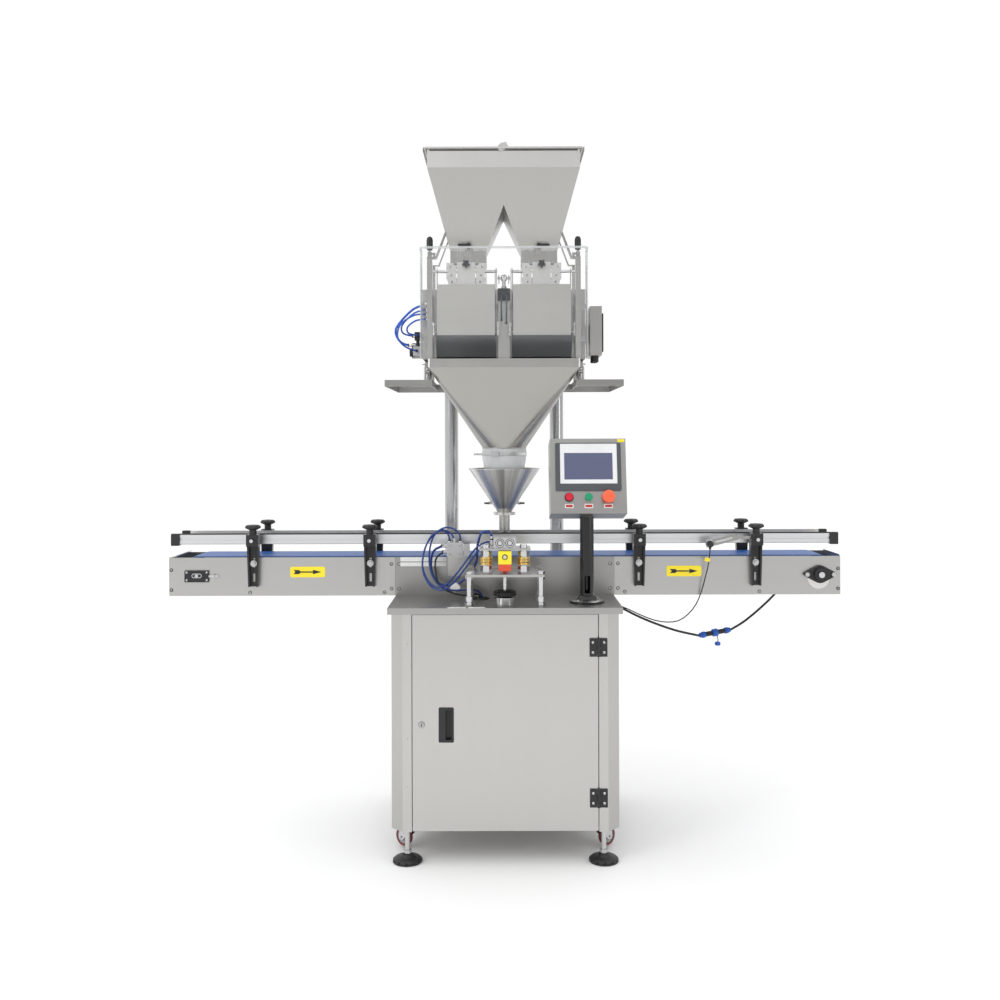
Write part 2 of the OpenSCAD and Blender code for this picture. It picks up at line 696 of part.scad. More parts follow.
module gear_motor() {
  gy = rear_y;
  motor_y = gy + 46;
  color(grey) difference() {
    union() {
      block([drive_x - 42, drive_x + 42], [gy, gy + 74], [axle_z - 48, axle_z + 44]);
      bar_y(drive_x, [gy + 74, gy + 80], axle_z, 60);
    }
    bar_y(drive_x, [gy - 1, gy + 90], axle_z, 2 * shaft_r + 2 * running_fit);
  }
  color(dark_steel) {
    bar_x([drive_x - 62, drive_x - 42], motor_y, axle_z, 90, 48);
    bar_x([drive_x - 164, drive_x - 62], motor_y, axle_z, 84, 48);
    for (i = [0:6]) bar_x([drive_x - 78 - i * 12, drive_x - 74 - i * 12], motor_y, axle_z, 90, 40);
    bar_x([drive_x - 186, drive_x - 164], motor_y, axle_z, 90, 48);
    block([drive_x - 136, drive_x - 76], [motor_y + 30, motor_y + 62], [axle_z - 30, axle_z + 30]);
  }
  // Cable gland under the terminal box
  color(black) {
    bar_z(drive_x - 60, motor_y + 30, [axle_z - 64, axle_z - 42], 18);
    block([drive_x - 74, drive_x - 46], [motor_y + 16, motor_y + 44], [axle_z - 44, axle_z - 30]);
  }
}

// A guide rail with its rods; in is +1 for the front one
module guide_rail(y, in) {
  back = y - in * rail_t;
  strip = y - in * 4;
  color(grey) difference() {
    block([-end_x + 12, end_x - 12], [min(back, strip), max(back, strip)], [rail_z, rail_z + rail_h]);
    block([-end_x, end_x], [min(back, back + in * 3), max(back, back + in * 3)],
      [rail_z + 12, rail_z + 20]);
  }
  color(black) {
    block([-end_x + 12, end_x - 12], [min(y, strip), max(y, strip)], [rail_z - 2, rail_z + rail_h + 3]);
    for (s = [-1, 1]) block([min(s * end_x, s * (end_x - 30)), max(s * end_x, s * (end_x - 30))],
      [min(y, back - in * 2), max(y, back - in * 2)], [rail_z - 6, rail_z - 2]);
    for (s = [-1, 1]) block([min(s * end_x, s * (end_x - 12)), max(s * end_x, s * (end_x - 12))],
      [min(y, back - in * 2), max(y, back - in * 2)], [rail_z - 2, rail_z + rail_h + 3]);
  }
  color(bright) for (x = bracket_xs) {
    far = back - in * 74;
    bar_y(x, [min(back, far), max(back, far)], rod_z, rod_d);
  }
}
module guide_rail_front() { guide_rail(belt_y - lane_w / 2, 1); }
module guide_rail_rear() { guide_rail(belt_y + lane_w / 2, -1); }

// A slotted bracket with the head that clamps a rail's rod
module rail_bracket(x) {
  foot_z = table_h + 33;
  w = bracket_w;
  color(black) translate([x, 0, 0]) difference() {
    union() {
      // Tapered arm: wide at its head, narrow at its foot
      rotate([90, 0, 0]) linear_extrude(height = 9) polygon([[-w * 0.40, foot_z],
        [w * 0.40, foot_z], [w * 0.50, bracket_high - 40], [-w * 0.50, bracket_high - 40]]);
      for (s = [-1, 1]) rotate([90, 0, 0]) linear_extrude(height = 22) polygon([[s * w * 0.40, foot_z],
        [s * (w * 0.40 - 6), foot_z], [s * (w * 0.5 - 6), bracket_high - 40],
        [s * w * 0.5, bracket_high - 40]]);
      block([-w / 2, w / 2], [-bracket_out - 10, 0], [bracket_high - 40, bracket_high]);
    }
    for (z = [[foot_z + 14, foot_z + 44], [foot_z + 62, foot_z + 96]])
      block([-4.5, 4.5], [-30, 1], z);
    bar_y(0, [-bracket_out - 20, 10], rod_z, rod_d + 2 * running_fit);
  }
  color(bright) {
    translate([x, -9, foot_z + 78]) rotate([90, 0, 0]) cylinder(h = 4, d = 22, $fn = 32);
    translate([x, -13, foot_z + 78]) rotate([90, 0, 0]) cylinder(h = 7, d = 14, $fn = 6);
  }
}
module rail_brackets() {
  for (x = bracket_xs) {
    translate([0, front_y, 0]) rail_bracket(x);
    translate([0, rear_y, 0]) mirror([0, 1, 0]) rail_bracket(x);
  }
}

// A mushroom knob with a fluted rim, its collar standing on z
module mushroom_knob(x, y, z) {
  color(black) translate([x, y, z]) {
    cylinder(h = 16, d = 24, $fn = 32);
    translate([0, 0, 16]) difference() {
      rotate_extrude($fn = 40) polygon([[0, 0], [14, 0], [knob_d / 2, 6], [knob_d / 2, 11],
        [knob_d / 2 - 5, 16], [0, 18]]);
      for (a = [0:45:315]) rotate([0, 0, a]) translate([knob_d / 2 + 4, 0, -1])
        cylinder(h = 24, d = 13, $fn = 16);
    }
  }
}
// A five-lobed knob that faces -Y
module star_knob(x, y, z, d) {
  color(black) translate([x, y, z]) rotate([90, 0, 0]) {
    cylinder(h = 10, d = d * 0.5, $fn = 24);
    translate([0, 0, 10]) linear_extrude(height = 13)
      polygon([for (a = [0:12:348]) (d / 2) * (0.82 + 0.18 * cos(5 * a + 90)) * [cos(a), sin(a)]]);
  }
}
module clamp_knobs() {
  for (x = bracket_xs) {
    mushroom_knob(x, front_y - 20, bracket_high);
    mushroom_knob(x, rear_y + 20, bracket_high);
  }
  both_sides() star_knob(bucket_x, shaft_y - 11, bucket_top + 72, 28);
}

module columns() {
  color(bright) both_sides() {
    bar_z(column_x, column_y, [table_h, column_top], column_d, 48);
    for (z = [table_h, column_top - 10]) difference() {
      bar_z(column_x, column_y, [z, z + 10], column_d + 44, 48);
      bar_z(column_x, column_y, [z - 1, z + 11], column_d - 1, 48);
      for (a = [45:90:315]) bar_z(column_x + (column_d / 2 + 12) * cos(a),
        column_y + (column_d / 2 + 12) * sin(a), [z - 1, z + 11], 9);
    }
  }
}

// Opening in the shelf that the collecting funnel hangs in, open to the front
shelf_gap_x = funnel_w / 2 - 14;
module shelf() {
  gap_back = shelf_front + funnel_d + 4;
  color(steel) {
    difference() {
      block([-shelf_w / 2, shelf_w / 2], [shelf_front, shelf_back], [shelf_z, shelf_top]);
      for (s = [-1, 1]) block(s < 0 ? [-shelf_w / 2 + sheet_t, -shelf_gap_x - sheet_t]
        : [shelf_gap_x + sheet_t, shelf_w / 2 - sheet_t],
        [shelf_front + sheet_t, shelf_back - sheet_t], [shelf_z - 1, shelf_top - sheet_t]);
      block([-shelf_gap_x - 3, shelf_gap_x + 3], [gap_back + sheet_t, shelf_back - sheet_t],
        [shelf_z - 1, shelf_top - sheet_t]);
      block([-shelf_gap_x, shelf_gap_x], [shelf_front - 1, gap_back], [shelf_z - 1, shelf_top + 1]);
    }
    // Brackets that the funnel's band is hooked on, one at each side
    both_sides() difference() {
      block([funnel_w / 2 + seat_gap, funnel_w / 2 + 30], [-30, 120], [shelf_top, rim_low + 16]);
      block([funnel_w / 2 + 3, funnel_w / 2 + 31], [-31, 121], [shelf_top + 3, rim_low + 17]);
    }
  }
  color(bright) both_sides() for (y = [-10, 100]) {
    bar_x([funnel_w / 2 + 3, funnel_w / 2 + 15], y, rim_low - 8, 12);
    bar_z(funnel_w / 2 + 18, y, [shelf_top + 3, rim_low + 12], 8);
  }
}

// Posts at the head's sides that carry the cross shafts and the hopper's wings
side_post_x = [hanger_x, hanger_x + 18];
front_post_y = [-64, -42];
rear_post_y = [110, 130];
module weigher_body() {
  hole_d = 7;
  rail_x = bucket_in - 8;
  // Drive housing, open underneath, on four legs
  color(steel) {
    difference() {
      block([-housing_x, housing_x], [housing_y, housing_y + housing_d], [housing_low, housing_top]);
      block([-housing_x + sheet_t, housing_x - sheet_t],
        [housing_y + sheet_t, housing_y + housing_d - sheet_t], [housing_low - 1, housing_top - sheet_t]);
      for (row = [0:3], side = [-1, 1]) block([side * 120 - 50, side * 120 + 50],
        [housing_y + housing_d - sheet_t - 1, housing_y + housing_d + 1],
        [housing_low + 40 + row * 20, housing_low + 45 + row * 20]);
    }
    both_sides() for (y = [132, shelf_back - 46])
      block([housing_x - 24, housing_x], [y, y + 28], [shelf_top, housing_low]);
    // Rear cover plate
    block([-housing_x + 30, housing_x - 30], [housing_y + housing_d, housing_y + housing_d + 2],
      [housing_low + 130, housing_top - 20]);
    both_sides() {
      block(side_post_x, front_post_y, [rim_top + 4, wing_z]);
      for (z = [housing_low + 24, housing_top - 56])
        block(side_post_x, [front_post_y[1], housing_y], [z, z + 30]);
      block(side_post_x, rear_post_y, [housing_top, wing_z]);
      // Load cell brackets behind the buckets
      block([bucket_x - 30, bucket_x + 30], [bucket_front + bucket_d, housing_y],
        [bucket_top - 90, bucket_top - 40]);
    }
  }
  color(bright) both_sides() bar_x([rail_x, hanger_x], shaft_y, shaft_z, shaft_d);
  // Centre post with the plates that carry the shafts' inner ends
  color(steel) {
    block([-20, 20], [-40, -28], [rim_top + 4, bucket_top - 30]);
    for (z = [housing_low + 12, bucket_top - 60]) block([-20, 20], [-28, housing_y], [z, z + 12]);
    both_sides() {
      block([rail_x, rail_x + 3], [shaft_y - 9, -28], [bucket_top - 60, shaft_z + 10]);
      block([20, rail_x], [-31, -28], [bucket_top - 60, bucket_top - 48]);
    }
  }
  // Ear plates and deflectors in front of the pans
  color(bright) both_sides() {
    for (s = [-1, 1]) difference() {
      along_y([shaft_y - 9, shaft_y - 5], [for (p = [[34, 4], [60, 4], [68, 78], [44, 78], [34, 60]])
        [bucket_x + s * p[0], bucket_top + p[1]]]);
      for (z = [14, 36, 64]) bar_y(bucket_x + s * (46 + z * 0.12), [shaft_y - 10, shaft_y - 4],
        bucket_top + z, hole_d);
    }
    for (s = [-1, 1]) block(s < 0 ? [bucket_x - 52, bucket_x - 48] : [bucket_x + 48, bucket_x + 52],
      [shaft_y - 6, shaft_y], [shaft_z - 12, shaft_z + 12]);
    block([bucket_x - 31, bucket_x + 31], [shaft_y - 11, shaft_y - 9],
      [bucket_top + 3, bucket_top + 80]);
    block([bucket_x - 44, bucket_x + 44], [shaft_y - 9, shaft_y - 6], [bucket_top + 62, bucket_top + 70]);
  }
  // Spring blocks and leaf springs under each pan
  color(dark_steel) both_sides() for (y = spring_ys) {
    block([bucket_x - 26, bucket_x + 26], [y - 10, y + 10], [housing_top, housing_top + 10]);
    along_x([bucket_x - 20, bucket_x + 20], [[y - 1.5, housing_top + 9], [y + 1.5, housing_top + 9],
      [y - 2.5, pan_z - 8], [y - 5.5, pan_z - 8]]);
  }
}

// A vibrating trough, open at its front end and on top, with its drive block beneath
module feeder_pan() {
  color(steel) difference() {
    block([bucket_x - feeder_w / 2, bucket_x + feeder_w / 2], [pan_front, pan_back],
      [pan_z, pan_z + pan_high]);
    block([bucket_x - feeder_w / 2 + pan_t, bucket_x + feeder_w / 2 - pan_t],
      [pan_front - 1, pan_back - pan_t], [pan_z + pan_t, pan_z + pan_high + 1]);
  }
  color(dark_steel) for (y = spring_ys)
    block([bucket_x - 22, bucket_x + 22], [y - 14, y + 6], [pan_z - 8 + seat_gap, pan_z]);
}

// Weigh buckets: side view, with the slope that the flap closes
flap_back = bucket_front + 50;
flap_pin = [bucket_front + 6, flap_top + 10];
module weigh_bucket() {
  t = pan_t;
  back = bucket_front + bucket_d;
  x0 = bucket_x - bucket_w / 2;
  x1 = bucket_x + bucket_w / 2;
  color(steel) difference() {
    along_x([x0, x1], [[bucket_front, bucket_top], [bucket_front, flap_top], [flap_back, bucket_low],
      [back, bucket_low + 120], [back, bucket_top]]);
    along_x([x0 + t, x1 - t], [[bucket_front + t, bucket_top + 1], [bucket_front + t, flap_top - 40],
      [flap_back - 1, bucket_low - 20], [flap_back, bucket_low + t * 1.6], [back - t, bucket_low + 121],
      [back - t, bucket_top + 1]]);
    // The flap's side of the slope is open
    along_x([x0 + t, x1 - t], [[bucket_front - 1, flap_top - 0.5], [bucket_front + t + 1, flap_top - 0.5],
      [flap_back, bucket_low + 1], [flap_back - 4, bucket_low - 9], [bucket_front - 1, flap_top - 9]]);
    for (x = [[x0 - 1, x0 + t + 1], [x1 - t - 1, x1 + 1]])
      bar_x(x, flap_pin[0], flap_pin[1], 6);
  }
  // Pivot pins and the hooks that the bucket hangs by
  color(bright) {
    for (s = [-1, 1]) {
      px = s < 0 ? [x0 - 7, x0 + 4] : [x1 - 4, x1 + 7];
      bar_x(px, flap_pin[0], flap_pin[1], 6);
      hx = s < 0 ? [x0 - 3, x0] : [x1, x1 + 3];
      difference() {
        along_x(hx, [for (p = [[-12, -76], [12, -76], [12, 4], [6, 12], [-6, 12], [-12, 4]])
          [shaft_y + p[0], shaft_z + p[1]]]);
        bar_x([hx[0] - 1, hx[1] + 1], shaft_y, shaft_z, shaft_d + 2 * running_fit);
      }
    }
  }
}
module weigh_buckets() { both_sides() weigh_bucket(); }

// The flap lies on the bucket's slope, with an ear on each pin
module bucket_flap() {
  x0 = bucket_x - bucket_w / 2;
  x1 = bucket_x + bucket_w / 2;
  n = [-flap_h, -50] / norm([flap_h, 50]);
  lip = n * seat_gap;
  skin = n * (seat_gap + pan_t);
  top = [bucket_front, flap_top - 1];
  low = [flap_back, bucket_low];
  color(dark_steel) {
    along_x([x0 - 4.5, x1 + 4.5], [top + lip, low + lip, low + skin, top + skin]);
    for (x = [[x0 - 4.5, x0 - 2.5], [x1 + 2.5, x1 + 4.5]]) difference() {
      along_x(x, [top + skin, low + skin, low + [4, 10], flap_pin + [9, -3], flap_pin + [4, 9],
        flap_pin + [-6, 6]]);
      bar_x([x[0] - 1, x[1] + 1], flap_pin[0], flap_pin[1], 6 + 2 * running_fit);
    }
  }
}

// Hopper: its front and side views, moved in by t
function hopper_view(t) = let (w = hopper_w / 2) [[-w + t, slant_top], [w - t, slant_top],
  [chute_out - t, neck_top], [chute_in + t, neck_top], [0, slant_top - notch_drop + 2.2 * t],
  [-chute_in - t, neck_top], [-chute_out + t, neck_top]];
function hopper_side(t) = [[hopper_front + t, slant_top], [hopper_back - t, slant_top],
  [chute_back - t, neck_top], [chute_front + t, neck_top]];
module hopper_slant(t) {
  intersection() {
    along_y([hopper_front - 1, hopper_back + 1], hopper_view(t));
    along_x([-hopper_w, hopper_w], hopper_side(t));
  }
}
module feed_hopper() {
  w = hopper_w / 2;
  t = pan_t;
  lip = 15;
  color(steel) {
    difference() {
      union() {
        hopper_slant(0);
        block([-w, w], [hopper_front, hopper_back], [slant_top, hopper_top]);
        // Rim folded outwards
        block([-w - lip, w + lip], [hopper_front - 3, hopper_back + lip], [hopper_top - 3, hopper_top]);
        both_sides() block([chute_in, chute_out], [chute_front, chute_back], [neck_low, neck_top]);
      }
      hopper_slant(t);
      block([-w + t, w - t], [hopper_front + t, hopper_back - t], [slant_top - 0.1, hopper_top + 1]);
      both_sides() {
        block([chute_in + t, chute_out - t], [chute_front + t, chute_back - t],
          [neck_low - 1, neck_top + 0.1]);
        // Window that the gate closes
        block([bucket_x - 44, bucket_x + 44], [chute_front - 1, chute_front + t + 1],
          [neck_low - 1, neck_low + 24]);
      }
    }
    // Turned-down edge of the rim
    both_sides() block([w + lip - 2, w + lip], [hopper_front - 3, hopper_back + lip],
      [hopper_top - 14, hopper_top - 3]);
    // Wings that rest on the side posts, with the clamps' bases
    both_sides() for (y = [[front_post_y[0], front_post_y[1] + 18], rear_post_y])
      along_y(y, [[hanger_x - 14, wing_z], [hanger_x + 18, wing_z], [hanger_x + 18, wing_z + 3],
        [hanger_x - 11, wing_z + 3], [wall_x(wing_z + 88), wing_z + 88],
        [wall_x(wing_z + 84) - pan_t / 2, wing_z + 84]]);
    both_sides() for (y = [clamp_y - 8, clamp_y + 4.3])
      block([clamp_x - 7, clamp_x + 7], [y, y + 3.7], [wing_z + 3, clamp_z + 7]);
  }
  color(bright) both_sides() bar_y(clamp_x, [clamp_y - 9, clamp_y + 9], clamp_z, 6);
  // Guides of the layer gates
  color(bright) both_sides() {
    for (s = [-1, 1]) difference() {
      block(s < 0 ? [bucket_x - 54, bucket_x - 44] : [bucket_x + 44, bucket_x + 54],
        [chute_front - 7, chute_front], [neck_low, neck_top]);
      block([bucket_x - 50.4, bucket_x + 50.4], [chute_front - 4 + seat_gap - 0.6, chute_front + 1],
        [neck_low - 1, neck_top + 7]);
    }
  }
}
// A layer gate with its handle and pointer
module hopper_gate() {
  color(bright) {
    block([bucket_x - 50, bucket_x + 50], [chute_front - 3.6, chute_front - seat_gap],
      [neck_low - 4, neck_low + 24]);
    block([bucket_x - 22, bucket_x - 2], [chute_front - 16, chute_front - 12], [neck_low, neck_low + 60]);
  }
  color(black) {
    block([bucket_x - 22, bucket_x - 2], [chute_front - 12, chute_front - 3.6],
      [neck_low + 4, neck_low + 20]);
    block([bucket_x - 10, bucket_x + 28], [chute_front - 26, chute_front - 16],
      [neck_low + 50, neck_low + 60]);
    bar_y(bucket_x - 8, [chute_front - 32, chute_front - 16], neck_low + 54, 16);
  }
}

// Collecting funnel: from the rectangular band to the round outlet
module funnel_form(t) {
  hull() {
    translate([0, belt_y, rim_low]) linear_extrude(height = 0.5)
      polygon(rounded(funnel_w - 2 * t, funnel_d - 2 * t, 6 - t, 2));
    translate([0, belt_y, funnel_low]) cylinder(h = 0.5, d = outlet_d - 2 * t, $fn = 40);
  }
}
module collecting_funnel() {
  color(steel) {
    difference() {
      union() {
        funnel_form(0);
        translate([0, belt_y, rim_low]) linear_extrude(height = funnel_band)
          polygon(rounded(funnel_w, funnel_d, 6, 2));
      }
      funnel_form(pan_t);
      translate([0, belt_y, rim_low + 0.4]) linear_extrude(height = funnel_band + 1)
        polygon(rounded(funnel_w - 2 * pan_t, funnel_d - 2 * pan_t, 4, 2));
      translate([0, belt_y, funnel_low - 1]) cylinder(h = 3, d = outlet_d - 2 * pan_t, $fn = 40);
    }
    // Outlet collar
    translate([0, belt_y, funnel_low - collar_h]) difference() {
      cylinder(h = collar_h, d = outlet_d, $fn = 64);
      translate([0, 0, -1]) cylinder(h = collar_h + 2, d = outlet_d - 2 * pan_t, $fn = 64);
    }
    // Hook plates that rest on the shelf's brackets
    both_sides() for (y = [-10, 100])
      block([funnel_w / 2, funnel_w / 2 + 26], [y - 14, y + 14], [rim_low + 16 + seat_gap, rim_low + 19]);
  }
}

module outlet_sleeve() {
  band_z = funnel_low - 22;
  translate([0, belt_y, 0]) {
    color([0.86, 0.88, 0.92, 0.6]) rotate_extrude($fn = 64) polygon([[outlet_d / 2 + 0.1, funnel_low - 4],
      [outlet_d / 2 + 1.6, funnel_low - 4], [outlet_d / 2 + 1.6, band_z - 8],
      [outlet_d / 2 - 6, cone_top - 9], [outlet_d / 2 - 7.5, cone_top - 9],
      [outlet_d / 2 + 0.1, funnel_low - collar_h]]);
    color(bright) {
      rotate_extrude($fn = 64) translate([outlet_d / 2 + 1.6, band_z - 5]) square([1.2, 10]);
      difference() {
        block([-44, -20], [-outlet_d / 2 - 14, -outlet_d / 2 + 24], [band_z - 6, band_z + 6]);
        translate([0, 0, band_z - 7]) cylinder(h = 14, d = outlet_d + 5.6, $fn = 64);
      }
      bar_x([-104, -44], -outlet_d / 2 - 8, band_z, 7, 20);
    }
  }
}

module filling_funnel() {
  r0 = tube_d / 2 - 1.5;
  color(bright) translate([0, belt_y, 0]) {
    rotate_extrude($fn = 64) polygon([[r0, tube_low], [tube_d / 2, tube_low], [tube_d / 2, flange_z],
      [tube_d, flange_z], [tube_d, cone_low], [tube_d / 2 + 5, cone_low], [cone_d / 2, cone_top],
      [cone_d / 2 + 2, cone_top], [cone_d / 2 + 2, cone_top + 1.5], [cone_d / 2 - 2, cone_top + 1.5],
      [tube_d / 2 + 3, cone_low + 1], [r0, flange_z + 2]]);
  }
  // Holder behind the cone: a forked arm on a post, with its clamp screws
  arm_z = cone_low + 26;
  fork = tube_d / 2 + 5 + (arm_z + 8 - cone_low) * (cone_d / 2 - tube_d / 2 - 5) / cone_h;
  color(steel) {
    difference() {
      block([-fork - 10, fork + 10], [belt_y + 4, belt_y + fork + 14], [arm_z, arm_z + 8]);
      translate([0, belt_y, arm_z - 1]) cylinder(h = 10, r = fork + 0.2, $fn = 48);
    }
    block([-12, 12], [belt_y + fork + 14, belt_y + 142], [arm_z, arm_z + 8]);
    bar_z(0, belt_y + 142, [table_h, arm_z + 14], 24);
    bar_z(0, belt_y + 142, [table_h, table_h + 8], 60);
  }
  color(dark_steel) for (s = [-1, 1]) bar_x(s < 0 ? [-fork - 24, -fork - 10] : [fork + 10, fork + 24],
    belt_y + 14, arm_z + 4, 7, 20);
}

// Clear guard: a sheet bent to a U round the buckets
module splash_guard() {
  r = 26;
  w = housing_x - 2;
  low = rim_top + 4;
  edge = guard_front + 84;
  // The U's outline, moved in by t
  function u_shape(t) = concat([[-w + t, edge + t]],
    [for (a = [180:15:270]) [-w + r + (r - t) * cos(a), guard_front + r + (r - t) * sin(a)]],
    [for (a = [270:15:360]) [w - r + (r - t) * cos(a), guard_front + r + (r - t) * sin(a)]],
    [[w - t, edge + t]]);
  color([0.85, 0.90, 0.95, 0.3]) translate([0, 0, low]) difference() {
    linear_extrude(height = guard_h - 33) polygon(u_shape(0));
    translate([0, 0, -1]) linear_extrude(height = guard_h) polygon(u_shape(guard_t));
  }
  // Hooks that hold it on the side posts
  color(bright) both_sides() for (z = [low + 60, low + 170])
    block([hanger_x + 18 + seat_gap, w - guard_t], [edge - 12, edge + 8], [z, z + 14]);
}

// Toggle clamp: its lever turns on the base's pin
module clamp_lever() {
  color(bright) {
    difference() {
      union() {
        bar_y(clamp_x, [clamp_y - 4, clamp_y + 4], clamp_z, 12);
        block([clamp_x - 4, clamp_x + 4], [clamp_y - 3, clamp_y + 3], [clamp_z, clamp_z + 14]);
        block([clamp_x - 20, clamp_x], [clamp_y - 3, clamp_y + 3], [clamp_z - 3, clamp_z + 4]);
      }
      bar_y(clamp_x, [clamp_y - 9, clamp_y + 9], clamp_z, 6 + 2 * running_fit);
    }
    bar_z(clamp_x - 15, clamp_y, [wing_z + 3 + seat_gap, clamp_z - 3], 8);
  }
  color(black) translate([clamp_x, clamp_y, clamp_z + 13]) rotate_extrude($fn = 32)
    polygon([[0, 0], [8, 0], [11, 6], [11, 34], [9, 42], [5, 46], [0, 47]]);
}

module control_post() {
  top = box_z + 34;
  color(black) difference() {
    union() {
      bar_z(post_x, post_y, [table_h, top], post_d, 48);
      translate([post_x, post_y, table_h]) rotate_extrude($fn = 48) polygon([[post_d / 2 - 1, 0],
        [57, 0], [57, 6], [52, 9], [34, 11], [post_d / 2 + 3, 22], [post_d / 2 - 1, 24]]);
    }
    bar_z(post_x, post_y, [table_h - 1, top + 1], post_d - 6, 48);
    block([post_x - 9, post_x + 9], [post_y - post_d, post_y], [table_h + 32, table_h + 88]);
    for (a = [45:90:315])
      bar_z(post_x + 45 * cos(a), post_y + 45 * sin(a), [table_h - 1, table_h + 20], 9);
  }
  color(bright) for (a = [45:90:315])
    bar_z(post_x + 45 * cos(a), post_y + 45 * sin(a), [table_h + 7, table_h + 13], 14, 6);
}

// The box leans back: its own frame starts at the front lower edge
module in_box() { translate([post_x, box_front, box_z]) rotate([-box_tilt, 0, 0]) children(); }
button_h = 52;
module control_box() {
  in_box() color(grey) difference() {
    block([-box_w / 2, box_w / 2], [0, box_d], [0, box_w]);
    block([-box_w / 2 + sheet_t, box_w / 2 - sheet_t], [sheet_t, box_d - sheet_t],
      [sheet_t, box_w - sheet_t]);
    for (x = [-62, 0, 62]) bar_y(x, [-1, sheet_t + 1], button_h, 22 + 2 * running_fit);
    translate([0, (post_y - box_front) / cos(box_tilt), 0]) rotate([box_tilt, 0, 0])
      cylinder(h = 90, d = post_d + 0.4, center = true, $fn = 48);
  }
  // Back cover with its screws
  in_box() color(steel) {
    difference() {
      block([-box_w / 2 + 12, box_w / 2 - 12], [box_d, box_d + 2], [12, box_w - 12]);
      for (sx = [-1, 1], sz = [20, box_w - 20])
        bar_y(sx * (box_w / 2 - 20), [box_d - 1, box_d + 3], sz, 5);
    }
    for (sx = [-1, 1], sz = [20, box_w - 20]) bar_y(sx * (box_w / 2 - 20), [box_d, box_d + 4], sz, 8);
  }
  // Fixed bodies behind the buttons
  in_box() color(dark_steel) for (x = [-62, 0, 62]) difference() {
    block([x - 14, x + 14], [sheet_t, sheet_t + 40], [button_h - 14, button_h + 14]);
    bar_y(x, [0, sheet_t + 38], button_h, 22 + 2 * running_fit);
  }
  in_box() color(bright) for (x = [-62, 0, 62]) difference() {
    bar_y(x, [-4, 0], button_h, 29);
    bar_y(x, [-5, 1], button_h, 22 + 2 * running_fit);
  }
}
module operator_panel() {
  z0 = box_w - 15 - panel_h;
  in_box() {
    color(dark_steel) difference() {
      translate([0, 0, z0 + panel_h / 2]) rotate([90, 0, 0]) linear_extrude(height = 7)
        polygon(rounded(panel_w, panel_h, 5));
      block([-panel_w / 2 + 15, panel_w / 2 - 13], [-8, -5.5], [z0 + 22, z0 + panel_h - 3]);
    }
    color(bright) difference() {
      block([-panel_w / 2 + 15, panel_w / 2 - 13], [-6.5, -5.5], [z0 + 22, z0 + panel_h - 3]);
      block([-panel_w / 2 + 28, panel_w / 2 - 27], [-7, -6], [z0 + 35, z0 + panel_h - 33]);
    }
  }
}
// A button: a round stem in the panel's bore, with its cap in front
module push_button(x, cap_d, cap_h, neck) {
  in_box() {
    bar_y(x, [-4 - neck, sheet_t + 26], button_h, 22);
    bar_y(x, [-4 - neck - cap_h, -4 - neck], button_h, cap_d, 40);
  }
}
module stop_button() { color([0.72, 0.06, 0.10]) push_button(-62, 24, 5, 3.5); }
module start_button() { color([0.10, 0.50, 0.30]) push_button(0, 24, 5, 3.5); }
module emergency_stop() {
  color([0.92, 0.36, 0.24]) {
    push_button(62, 30, 4, 7);
    in_box() translate([62, -15, button_h]) rotate([90, 0, 0]) rotate_extrude($fn = 48)
      polygon([[0, 0], [19, 0], [20, 2], [20, 8], [18, 11.5], [12, 13.5], [0, 14]]);
  }
}

module station_stand() {
  y0 = station_front;
  y1 = station_front + station_d;
  color(steel) difference() {
    block([-station_w / 2, station_w / 2], [y0, y1], [station_low, station_top]);
    for (x = leg_xs, y = leg_ys) bar_z(x, y, [station_low - 1, station_top + 1], leg_d);
  }
  color(bright) for (x = leg_xs, y = leg_ys) {
    bar_z(x, y, [table_h, station_top], leg_d);
    bar_z(x, y, [table_h, table_h + 11], leg_d + 13, 6);
    bar_z(x, y, [table_h + 14, table_h + 30], leg_d + 8, 24);
    bar_z(x, y, [station_low - 8, station_low], leg_d + 11, 6);
    bar_z(x, y, [station_top, station_top + 9], leg_d + 11, 6);
  }
  // Spring posts that carry the cylinder's plate
  for (x = [-60, 60]) {
    color(bright) {
      bar_z(x, y0 + 46, [station_top, station_top + 24], 38, 6);
      bar_z(x, y0 + 46, [station_top + 24, station_top + 92], 24);
      bar_z(x, y0 + 46, [station_top + 56, station_top + 70], 36, 6);
    }
    color(brass) {
      bar_z(x, y0 + 46, [station_top + 28, station_top + 34], 36);
      bar_z(x, y0 + 46, [station_top + 36, station_top + 52], 34);
    }
  }
  color(steel) block([-82, 82], [y0 + 26, y0 + 120], [station_top + 74, station_top + 80]);
  // Base and shaft of the handwheel
  color(bright) {
    bar_z(0, handwheel_y, [table_h, table_h + 16], 66, 48);
    bar_z(0, handwheel_y, [table_h + 16, station_low], 12);
  }
  // Bottle stop arm that reaches towards the lane
  color(steel) block([-12, 12], [y0 + 110, front_y - 12], [station_top + 80, station_top + 86]);
}
leg_xs = [-station_w / 2 + 11, station_w / 2 - 11];
leg_ys = [station_front + 16, station_front + station_d - 16];

